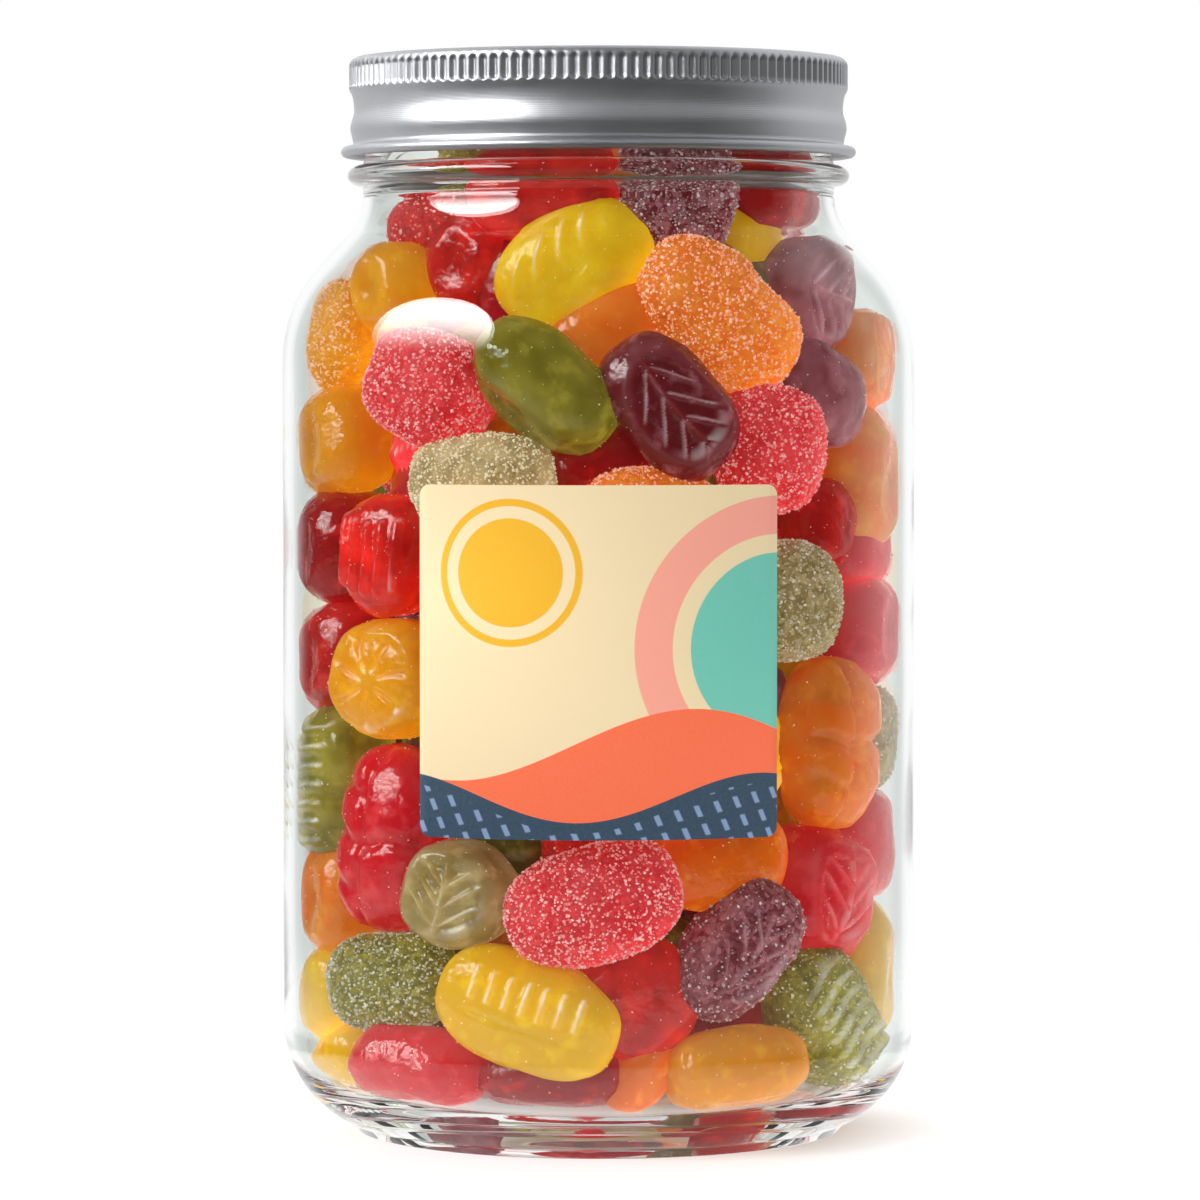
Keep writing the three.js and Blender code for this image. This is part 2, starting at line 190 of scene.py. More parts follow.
class Dress:
    """One node material in the making, or the node tree of the surroundings."""

    def __init__(self, tree: bpy.types.NodeTree) -> None:
        """Starts from an empty tree."""
        self.tree = tree
        tree.nodes.clear()

    @classmethod
    def of_material(cls, name: str) -> tuple[bpy.types.Material, Dress]:
        """Starts a material, whose glow no light is drawn from.

        Args:
            name: The material's name.

        Returns:
            The material and its dress.
        """
        material = bpy.data.materials.new(name)
        material.use_nodes = True
        material.cycles.emission_sampling = "NONE"
        return material, cls(material.node_tree)

    def node(
        self, kind: str, settings: Values | None = None, sockets: Values | None = None
    ) -> bpy.types.Node:
        """Adds a node.

        Args:
            kind: The node's type.
            settings: Its own settings, which are set first.
            sockets: A value, a socket or a Signal for each input, by name or place.

        Returns:
            The node.
        """
        made = self.tree.nodes.new(kind)
        for name, value in (settings or {}).items():
            setattr(made, name, value)
        for name, value in (sockets or {}).items():
            source = value.socket if isinstance(value, Signal) else value
            if isinstance(source, Socket):
                self.tree.links.new(source, made.inputs[name])
            else:
                made.inputs[name].default_value = source
        return made

    def signal(
        self,
        kind: str,
        settings: Values | None = None,
        sockets: Values | None = None,
        output: str | int = 0,
    ) -> Signal:
        """Adds a node and gives one of its results as a Signal."""
        return Signal(self, self.node(kind, settings, sockets).outputs[output])

    def mix(self, share: Signal | Socket | float, low: object, high: object) -> Socket:
        """Blends two colours.

        Args:
            share: How much of the second colour there is.
            low: The first colour, or a socket.
            high: The second.

        Returns:
            The blended colour.
        """
        made = self.node("ShaderNodeMix", {"data_type": "RGBA"}, {0: share, 6: low, 7: high})
        return made.outputs[2]

    def place(self, output: str = "Object") -> Socket:
        """A texture coordinate, in metres where it is the object's."""
        return self.node("ShaderNodeTexCoord").outputs[output]

    def xyz(self, output: str = "Object") -> list[Signal]:
        """The three parts of a texture coordinate."""
        split = self.node("ShaderNodeSeparateXYZ", None, {0: self.place(output)})
        return [Signal(self, socket) for socket in split.outputs]

    def noise(self, size: float, detail: float) -> Signal:
        """Cloudy noise.

        Args:
            size: How large a cloud is, in millimetres.
            detail: How much finer structure it has.

        Returns:
            The noise, about one half on average.
        """
        return self.signal(
            "ShaderNodeTexNoise",
            {"noise_dimensions": "3D"},
            {"Vector": self.place(), "Scale": 1 / (size * MM), "Detail": detail},
        )

    def bump(self, height: Signal, depth: float) -> Socket:
        """Turns a height from 0 to 1 into a normal.

        Args:
            height: The relief.
            depth: How deep it is, in millimetres.

        Returns:
            The normal.
        """
        sockets = {"Height": height, "Distance": depth * MM, "Strength": 1.0}
        return self.node("ShaderNodeBump", None, sockets).outputs["Normal"]

    def surface(self, sockets: Values, settings: Values | None = None) -> None:
        """Ends the material with one Principled shader of these values and settings."""
        shader = self.node("ShaderNodeBsdfPrincipled", settings, sockets)
        self.node("ShaderNodeOutputMaterial", None, {"Surface": shader.outputs[0]})


def show(name: str, data: bpy.types.ID) -> bpy.types.Object:
    """Puts a new object into the scene.

    Args:
        name: The object's name.
        data: Its mesh, lamp or camera.

    Returns:
        The object.
    """
    made = bpy.data.objects.new(name, data)
    bpy.context.scene.collection.objects.link(made)
    return made


def make_piece(
    name: str,
    points: Array,
    faces: Iterable[Array],
    material: bpy.types.Material,
    replaces: Sequence[str] = (),
    tints: Array | None = None,
) -> bpy.types.Object:
    """Writes one mesh and lets it ride on the jar.

    Args:
        name: The piece's name.
        points: Its corners, in millimetres.
        faces: Arrays of corner numbers, each array with faces of one size.
        material: Its finish.
        replaces: The solids that it stands for.
        tints: A colour for each corner.

    Returns:
        The new object.
    """
    mesh = bpy.data.meshes.new(name)
    mesh.vertices.add(len(points))
    mesh.vertices.foreach_set("co", (points * MM).astype(np.float32).ravel())
    kinds = [np.asarray(kind, np.int32) for kind in faces if len(kind)]
    corners = np.concatenate([kind.ravel() for kind in kinds])
    sizes = np.concatenate([np.full(len(kind), kind.shape[1]) for kind in kinds])
    mesh.loops.add(len(corners))
    mesh.loops.foreach_set("vertex_index", corners)
    mesh.polygons.add(len(sizes))
    starts = np.concatenate([[0], np.cumsum(sizes)[:-1]]).astype(np.int32)
    mesh.polygons.foreach_set("loop_start", starts)
    mesh.polygons.foreach_set("use_smooth", np.ones(len(sizes), bool))
    mesh.update(calc_edges=True)
    if tints is not None:
        layer = mesh.color_attributes.new(TINT, "FLOAT_COLOR", "POINT")
        layer.data.foreach_set("color", tints.astype(np.float32).ravel())
    mesh.materials.append(material)
    piece = show(name, mesh)
    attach(piece, BODY)
    if replaces:
        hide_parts(*replaces)
    LOG.info("%s: %d corners, %d faces", name, len(points), len(sizes))
    return piece


def arc(
    radius: float, height: float, size: float, start: float, end: float, steps: int
) -> list[Pair]:
    """Points of a round stretch of a turned outline, both ends included.

    Args:
        radius: The arc's middle, from the axis.
        height: The arc's middle, above the table.
        size: The arc's own radius.
        start: Its first angle, in radians.
        end: Its last angle.
        steps: How many steps it has.

    Returns:
        Pairs of radius and height.
    """
    angles = [start + (end - start) * i / steps for i in range(steps + 1)]
    return [(radius + size * math.cos(a), height + size * math.sin(a)) for a in angles]


def stepped(radius: float, height: float, steps: Outline) -> list[Pair]:
    """Points that lie a little out and up from a place of a turned outline."""
    return [(radius + out, height + up) for out, up in steps]


def flowing(points: Outline, steps: int) -> list[Pair]:
    """A smooth outline through a few points.

    Args:
        points: Pairs of radius and height.
        steps: Steps from each point to the next.

    Returns:
        Many more pairs along the smooth line.
    """
    known = np.array([points[0], *points, points[-1]], float)
    made = []
    for before, start, end, after in zip(known, known[1:], known[2:], known[3:]):
        for share in np.arange(steps) / steps:
            leave, arrive = (end - before) / 2, (after - start) / 2
            cubic = 2 * start - 2 * end + leave + arrive
            square = -3 * start + 3 * end - 2 * leave - arrive
            made.append(tuple(((cubic * share + square) * share + leave) * share + start))
    return [*made, tuple(points[-1])]


def turned(
    outline: Outline,
    sides: int,
    swell: Callable[[Array, Array], Array] | None = None,
) -> tuple[Array, list[Array]]:
    """A closed solid of revolution about Z.

    Args:
        outline: Pairs of radius and height that start and end on the axis.
        sides: How many sides it has.
        swell: What is added to the radius at an angle and a place along the outline.

    Returns:
        Its corners and its faces, four-sided ones and the two fans at the axis.
    """
    flat = np.array(outline[1:-1], float)
    angles = 2 * math.pi * np.arange(sides) / sides
    angle, row = np.meshgrid(angles, np.arange(len(flat)))
    radius = flat[row, 0]
    height = flat[row, 1]
    if swell:
        radius = radius + swell(angle, row)
    rings = np.stack([radius * np.sin(angle), -radius * np.cos(angle), height], -1)
    poles = [[0, 0, outline[0][1]], [0, 0, outline[-1][1]]]
    points = np.concatenate([rings.reshape(-1, 3), poles])
    here = np.arange(sides)
    after = (here + 1) % sides
    low = (np.arange(len(flat) - 1) * sides)[:, None]
    quads = np.stack([low + here, low + after, low + after + sides, low + here + sides], -1)
    first = np.full(sides, len(points) - 2)
    last = np.full(sides, len(points) - 1)
    top = (len(flat) - 1) * sides
    fans = np.concatenate(
        [np.stack([first, after, here], -1), np.stack([last, top + here, top + after], -1)]
    )
    return points, [quads.reshape(-1, 4), fans]


@dataclass(frozen=True)
class GlassFinish:
    """Clear bottle glass with a slight wave in its skin."""

    tint: str = "#F8FCFA"
    bend: float = 1.5
    wave_size: float = 28.0
    wave_depth: float = 0.12

    def material(self) -> bpy.types.Material:
        """Makes the finish.

        Returns:
            The glass.
        """
        material, dress = Dress.of_material("clear_glass")
        dress.surface(
            {
                "Base Color": colour(self.tint),
                "Roughness": 0.0,
                "IOR": self.bend,
                "Transmission Weight": 1.0,
                "Normal": dress.bump(dress.noise(self.wave_size, detail=1.0), self.wave_depth),
            }
        )
        return material


@dataclass
class Jar:
    """The glass: a wide jar with a short neck, sizes in millimetres."""

    radius: float = field(default_factory=lambda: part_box("jar")[1].x / MM)
    height: float = field(default_factory=lambda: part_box("jar")[1].z / MM)
    glass: float = 2.0
    wall_top: float = 122.0
    shoulder: float = 22.0
    slope: float = math.radians(42)
    neck: float = 37.3
    neck_fillet: float = 9.0
    ring: float = 39.7
    ring_height: float = 3.4
    ring_middle: float = 151.1
    finish_radius: float = 37.0
    rim_round: float = 0.9
    heel: float = 17.5
    heel_out: float = 1.0
    foot_outer: float = 38.2
    foot_inner: float = 33.5
    foot_flat: Pair = (0.6, 0.4)
    hollow: float = 2.4
    hollow_edge: float = 12.0
    hollow_bend: Pair = (7.0, 0.8)
    floor: float = 5.5
    floor_heel: float = 10.0
    # Small turns, as steps out and up from the foot, the neck and the finish
    foot_edge: Outline = ((0.2, 0.25),)
    seam: Outline = ((0.05, -0.5), (-0.25, -0.1), (0.0, 0.3))
    finish_foot: Outline = ((0.3, 0.25), (0.0, 0.8))
    # How many steps the whole turn and the round stretches have
    sides: int = 160
    hollow_steps: int = 4
    heel_steps: int = 18
    bend_steps: int = 16
    fillet_steps: int = 12
    ring_steps: int = 14
    rim_steps: int = 5
    finish: GlassFinish = field(default_factory=GlassFinish)

    @property
    def inner(self) -> float:
        """Radius inside the straight wall."""
        return self.radius - self.glass

    @property
    def neck_inner(self) -> float:
        """Radius inside the neck."""
        return self.neck - self.glass

    @property
    def neck_bottom(self) -> float:
        """Height where the shoulder's fillet has become the neck."""
        start = self.radius - self.shoulder + self.shoulder * math.cos(self.slope)
        end = self.neck + self.neck_fillet * (1 - math.cos(self.slope))
        rise = self.shoulder * math.sin(self.slope) + (start - end) / math.tan(self.slope)
        return self.wall_top + rise + self.neck_fillet * math.sin(self.slope)

    def inside(self, height: Array) -> Array:
        """The largest radius that is free inside the glass.

        Args:
            height: Heights above the table.

        Returns:
            The radius at each height, and zero under the floor.
        """
        heel = self.floor + self.floor_heel - height
        curve = self.inner - self.floor_heel
        curve = curve + np.sqrt(np.maximum(self.floor_heel**2 - heel**2, 0))
        size = self.shoulder - self.glass
        middle = self.radius - self.shoulder
        top = self.wall_top + size * math.sin(self.slope)
        over = np.sqrt(np.maximum(size**2 - (height - self.wall_top) ** 2, 0))
        slope = middle + size * math.cos(self.slope) - (height - top) * math.tan(self.slope)
        bands = [
            height < self.floor,
            height < self.floor + self.floor_heel,
            height < self.wall_top,
            height < top,
        ]
        return np.select(
            bands, [0, curve, self.inner, middle + over], np.maximum(slope, self.neck_inner)
        )

    def outline(self) -> list[Pair]:
        """The turned outline, from under the base up outside and down inside.

        Returns:
            Pairs of radius and height.
        """
        half = math.pi / 2
        turn = math.pi + self.slope
        rim = self.rim_round
        heel_middle = self.radius - self.heel
        heel_start = math.acos((self.foot_outer + self.heel_out - heel_middle) / self.heel)
        shoulder = (self.radius - self.shoulder, self.wall_top)
        fillet = (self.neck + self.neck_fillet, self.neck_bottom)
        rim_middle = (self.finish_radius - rim, self.height - rim)
        floor_middle = (self.inner - self.floor_heel, self.floor + self.floor_heel)
        bend_in, bend_share = self.hollow_bend
        bend = (self.foot_inner - bend_in, self.hollow * bend_share)
        out, tall = self.ring - self.neck, self.ring_height / 2
        ring = [
            (self.neck + out * r, self.ring_middle + tall * z)
            for r, z in arc(0, 0, 1, -half, half, self.ring_steps)
        ]
        return [
            (0, self.hollow),
            (self.foot_inner - self.hollow_edge, self.hollow),
            *flowing([bend, (self.foot_inner, 0.0)], self.hollow_steps),
            (self.foot_inner + self.foot_flat[0], 0.0),
            (self.foot_outer - self.foot_flat[1], 0.0),
            *stepped(self.foot_outer, 0.0, self.foot_edge),
            *arc(heel_middle, self.heel, self.heel, -heel_start, 0, self.heel_steps),
            *arc(*shoulder, self.shoulder, 0, self.slope, self.bend_steps),
            *arc(*fillet, self.neck_fillet, turn, math.pi, self.fillet_steps)[:-2],
            *stepped(self.neck, self.neck_bottom, self.seam),
            *ring,
            *stepped(self.finish_radius, self.ring_middle + tall, self.finish_foot),
            *arc(*rim_middle, rim, 0, half, self.rim_steps),
            (self.neck_inner + rim / 2, self.height),
            (self.neck_inner, self.height - rim),
            *arc(*fillet, self.neck_fillet + self.glass, math.pi, turn, self.fillet_steps),
            *arc(*shoulder, self.shoulder - self.glass, self.slope, 0, self.bend_steps),
            *arc(*floor_middle, self.floor_heel, 0, -half, self.bend_steps),
            (0, self.floor),
        ]

    def build(self) -> bpy.types.Object:
        """Makes the glass, which lets lamps through to the sweets.

        Returns:
            The glass.
        """
        points, faces = turned(self.outline(), self.sides)
        piece = make_piece(
            "glass_jar", points, faces, self.finish.material(), ["jar"]
        )
        piece.visible_shadow = False
        piece.visible_diffuse = False
        return piece


@dataclass(frozen=True)
class LidFinish:
    """Satin aluminium sheet with fine turning marks."""

    pale: str = "#C2C3C6"
    dark: str = "#AEB0B4"
    roughness: Pair = (0.32, 0.14)
    cloud: float = 6.0
    line_step: float = 0.22
    line_depth: float = 0.01
    line_wander: float = 4.0
    line_share: float = 0.5
    grit: float = 0.5

    def material(self) -> bpy.types.Material:
        """Makes the finish.

        Returns:
            The metal.
        """
        material, dress = Dress.of_material("satin_aluminium")
        x, y, z = dress.xyz()
        cloud = dress.noise(self.cloud, detail=4.0)
        along = (x**2 + y**2) ** 0.5 + z
        lines = (along / (self.line_step * MM) * math.tau + cloud * self.line_wander).sine()
        marks = lines * self.line_share + dress.noise(self.grit, detail=3.0)
        smooth, dull = self.roughness
        dress.surface(
            {
                "Base Color": dress.mix(cloud, colour(self.dark), colour(self.pale)),
                "Metallic": 1.0,
                "Roughness": cloud * dull + smooth,
                "Normal": dress.bump(marks, self.line_depth),
            }
        )
        return material


@dataclass
class Lid:
    """The screw lid: fluted grip, waist, bulge and rolled bead, sizes in millimetres."""

    top: float = field(default_factory=lambda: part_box("lid")[1].z / MM)
    bottom: float = field(default_factory=lambda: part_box("lid")[0].z / MM)
    bead: float = field(default_factory=lambda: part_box("lid")[1].x / MM)
    panel: float = 34.8
    panel_drop: float = 0.7
    panel_flat: float = 0.98
    grip: float = 39.4
    corner: float = 1.4
    flutes: int = 136
    flute_depth: float = 0.62
    flute_half: float = 0.3
    flute_round: Pair = (0.12, 0.68)
    flute_top: float = 168.3
    flute_bottom: float = 164.9
    ceiling: float = 168.5
    inner: float = 37.9
    bead_round: float = 0.85
    bead_turn: float = 1.15
    # The inner lip's steps out and up from the inner radius and the bottom
    lip: Outline = ((0.0, 2.0), (0.5, 0.4))
    # The skirt's radius at heights above the bottom, and where the grip and its band begin
    skirt: Outline = (
        (38.75, 2.0),
        (38.95, 3.2),
        (39.25, 4.4),
        (39.05, 5.7),
        (38.65, 7.0),
        (38.7, 8.6),
        (38.95, 9.8),
        (39.25, 10.35),
    )
    skirt_top: float = 10.8
    band_start: float = 11.0
    # The panel's edge: how far out it lies and its share of the drop
    panel_edge: Outline = ((1.5, 0.0), (0.7, 0.5), (0.0, 1.0))
    # How many steps each flute and the round stretches have
    flute_sides: int = 7
    bead_steps: int = 8
    skirt_steps: int = 2
    band_rows: int = 13
    corner_steps: int = 5
    edge_steps: int = 4
    finish: LidFinish = field(default_factory=LidFinish)

    def outline(self) -> list[Pair]:
        """The turned outline, from the ceiling inside down and round to the panel on top.

        Returns:
            Pairs of radius and height.
        """
        half = math.pi / 2
        bead = (self.bead - self.bead_round, self.bottom + self.bead_round)
        skirt = stepped(0, self.bottom, [*self.skirt, (self.grip, self.skirt_top)])
        turn = (self.grip - self.corner, self.top - self.corner)
        band = np.linspace(self.bottom + self.band_start, self.top - self.corner, self.band_rows)
        edge = [(self.panel + out, self.top - self.panel_drop * down) for out, down in self.panel_edge]
        return [
            (0, self.ceiling),
            (self.inner, self.ceiling),
            *stepped(self.inner, self.bottom, self.lip),
            *arc(*bead, self.bead_round, -half, half * self.bead_turn, self.bead_steps),
            *flowing(skirt, self.skirt_steps),
            *[(self.grip, z) for z in band],
            *arc(*turn, self.corner, 0, half, self.corner_steps)[1:],
            *flowing(edge, self.edge_steps),
            (self.panel * self.panel_flat, self.top - self.panel_drop),
            (0, self.top - self.panel_drop),
        ]

    def build(self) -> bpy.types.Object:
        """Makes the lid with a rounded slot at each flute.

        Returns:
            The lid.
        """
        outline = self.outline()
        flat = np.array(outline[1:-1])
        middle = (self.flute_top + self.flute_bottom) / 2
        reach = (self.flute_top - self.flute_bottom) / 2
        width = math.tau * self.grip / self.flutes

        def flute(angle: Array, row: Array) -> Array:
            """Presses the slots into the grip.

            Args:
                angle: Angles round the lid.
                row: Places along the outline.

            Returns:
                What is added to the radius.
            """
            share = angle * self.flutes / math.tau
            across = (share - np.round(share)) * width
            along = np.maximum(np.abs(flat[row, 1] - middle) - reach + self.flute_half, 0)
            far = np.hypot(across, along)
            outside = flat[row, 0] > self.grip - self.corner
            return -self.flute_depth * outside * fade(*self.flute_round, far)

        points, faces = turned(outline, self.flutes * self.flute_sides, flute)
        return make_piece(
            "fluted_lid", points, faces, self.finish.material(), ["lid"]
        )


@dataclass(frozen=True)
class LabelFinish:
    """Matt printed paper: a sun, a rainbow, hills and strokes on cream, with a painted glow that evens
    its light, sizes in millimetres.
    """

    cream: str = "#F0D9AC"
    salmon: str = "#F9A38F"
    mustard: str = "#EDB00C"
    coral: str = "#FA6B3C"
    teal: str = "#6DC5B1"
    navy: str = "#1F4058"
    slate: str = "#7E97BC"
    soft: float = 0.12
    sun_spot: Pair = (-13.5, 13.5)
    sun: float = 8.2
    halo: Pair = (10.6, 0.55)
    arch_spot: Pair = (28.4, 2.0)
    arches: Spot = (23.0, 17.2, 14.4)
    # Each hill's shift, waves for each length, rise and level
    hill: tuple[float, ...] = (4.0, 0.085, 5.5, -12.5)
    low_hill: tuple[float, ...] = (-11.0, 0.11, 3.6, -20.5)
    # The strokes' lean, step, and half width and soft edge as shares of the step, each way
    stroke_across: tuple[float, ...] = (0.45, 3.4, 0.13, 0.06)
    stroke_up: tuple[float, ...] = (-0.2, 3.0, 0.3, 0.08)
    stroke_drop: float = 1.6
    fibre: float = 0.35
    fibre_depth: float = 0.012
    fibre_pale: float = 0.06
    roughness: Pair = (0.5, 0.15)
    shine: float = 0.35
    painted_glow_evenness: float = 0.28

    def material(self, half_width: float, half_height: float) -> bpy.types.Material:
        """Makes the print from flat fields of colour.

        Args:
            half_width: Half the label's width, in millimetres.
            half_height: Half its height.

        Returns:
            The printed paper.
        """
        material, dress = Dress.of_material("printed_paper")
        across, up, _ = dress.xyz("UV")
        x = (across - 0.5) * (2 * half_width)
        y = (up - 0.5) * (2 * half_height)

        def away(spot: Pair) -> Signal:
            """Distance from a point of the label."""
            return ((x - spot[0]) ** 2 + (y - spot[1]) ** 2) ** 0.5

        def wave(shift: float, turns: float, rise: float, level: float) -> Signal:
            """The height of a rolling hill."""
            return ((x + shift) * turns).sine() * rise + level

        def bands(a: Signal, b: Signal, lean: float, step: float, half: float, edge: float) -> Signal:
            """Bands at each step of a, leaning with b."""
            return abs(((a + b * lean) / step).part() - 0.5).below(half, edge)

        hill = wave(*self.hill)
        low_hill = wave(*self.low_hill)
        sun = away(self.sun_spot)
        halo, halo_half = self.halo
        arch = away(self.arch_spot)
        stroke = bands(x, y, *self.stroke_across) * bands(y, x, *self.stroke_up)
        rainbow = zip(self.arches, (self.salmon, self.cream, self.teal))
        fields = [
            *[(arch.below(radius, self.soft), code) for radius, code in rainbow],
            (sun.below(self.sun, self.soft), self.mustard),
            (abs(sun - halo).below(halo_half, self.soft), self.mustard),
            (y.below(hill, self.soft), self.coral),
            (y.below(low_hill, self.soft), self.navy),
            (y.below(low_hill - self.stroke_drop, self.soft) * stroke, self.slate),
        ]
        print_colour: object = colour(self.cream)
        for mask, code in fields:
            print_colour = dress.mix(mask, print_colour, colour(code))
        fibre = dress.noise(self.fibre, detail=3.0)
        shade = dress.mix(fibre * self.fibre_pale, print_colour, WHITE)
        smooth, dull = self.roughness
        dress.surface(
            {
                "Base Color": shade,
                "Roughness": fibre * dull + smooth,
                "Specular IOR Level": self.shine,
                # Painted glow of the print's own colour, which evens out its lighting
                "Emission Color": shade,
                "Emission Strength": self.painted_glow_evenness,
                "Normal": dress.bump(fibre, self.fibre_depth),
            }
        )
        return material


@dataclass
class Label:
    """A square of paper bent round the glass, sizes in millimetres."""

    width: float = 56.8
    corner: float = 1.7
    gap: float = 0.1
    paper: float = 0.2
    columns: int = 72
    corner_steps: int = 8
    bottom: float = field(default_factory=lambda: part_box("label")[0].z / MM)
    top: float = field(default_factory=lambda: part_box("label")[1].z / MM)
    finish: LabelFinish = field(default_factory=LabelFinish)

    def build(self, jar: Jar) -> bpy.types.Object:
        """Makes the paper, with a map of its print.

        Args:
            jar: What it sticks to.

        Returns:
            The label.
        """
        half = self.width / 2
        turn = np.linspace(0, math.pi / 2, self.corner_steps + 1)
        end = -half + self.corner * (1 - np.cos(turn))
        inside = np.linspace(-half + self.corner, half - self.corner, self.columns + 1)
        along = np.concatenate([end[:-1], inside, -end[:-1][::-1]])
        into = np.maximum(np.abs(along) - (half - self.corner), 0)
        cut = self.corner - np.sqrt(np.maximum(self.corner**2 - into**2, 0))
        shell = jar.radius + self.gap
        rows = [(shell, -1), (shell + self.paper, -1), (shell + self.paper, 1), (shell, 1)]
        middle = (self.bottom + self.top) / 2
        tall = (self.top - self.bottom) / 2
        angle = along / jar.radius
        columns = []
        for radius, side in rows:
            height = middle + side * (tall - cut)
            columns.append(
                np.stack([radius * np.sin(angle), -radius * np.cos(angle), height], -1)
            )
        points = np.stack(columns, 1).reshape(-1, 3)
        start = 4 * np.arange(len(along) - 1)[:, None]
        edge = np.arange(4)
        after = (edge + 1) % 4
        sides = np.stack([start + edge, start + edge + 4, start + after + 4, start + after], -1)
        last = 4 * (len(along) - 1)
        ends = np.array([[0, 1, 2, 3], [last + 3, last + 2, last + 1, last]])
        faces = np.concatenate([sides.reshape(-1, 4), ends])
        material = self.finish.material(half, tall)
        piece = make_piece("paper_label", points, [faces], material, ["label"])
        across = np.repeat(along, 4) / self.width + 0.5
        upward = (points[:, 2] - self.bottom) / (self.top - self.bottom)
        layer = piece.data.uv_layers.new(name="print")
        spots = np.stack([across, upward], -1)[faces.ravel()]
        layer.data.foreach_set("uv", spots.astype(np.float32).ravel())
        return piece


@dataclass(frozen=True)
class Taste:
    """One flavour's jelly: its record slot, colours and how far light goes, in millimetres."""

    slot: str
    deep: str
    pale: str
    depth: Spot


class Flavour(Enum):
    """The fruit jellies in the jar."""

    LEMON = Taste("lemon_gummy", "#E0A400", "#F6CC14", (10.0, 7.0, 1.2))
    AMBER = Taste("orange_gummy", "#DC8600", "#F4B81C", (10.0, 5.5, 1.0))
    ORANGE = Taste("orange_gummy", "#E25C00", "#F8A034", (10.0, 4.0, 0.9))
    RED = Taste("red_gummy", "#8C0204", "#EC2A1C", (9.0, 1.2, 1.2))
    PINK = Taste("red_gummy", "#CC0A1A", "#F05054", (9.0, 1.6, 1.6))
    GREEN = Taste("green_gummy", "#5A5002", "#B2A63A", (5.0, 5.5, 1.0))
    OLIVE = Taste("green_gummy", "#6C561A", "#CCB482", (5.0, 4.6, 1.6))
    PURPLE = Taste("purple_gummy", "#640610", "#BA7880", (4.0, 1.2, 1.6))


class Coat(Enum):
    """How the outside is finished, with its grains or flecks for each square millimetre."""

    GLOSSY = 0.1
    DUSTED = 0.7
    SUGARED = 2.6


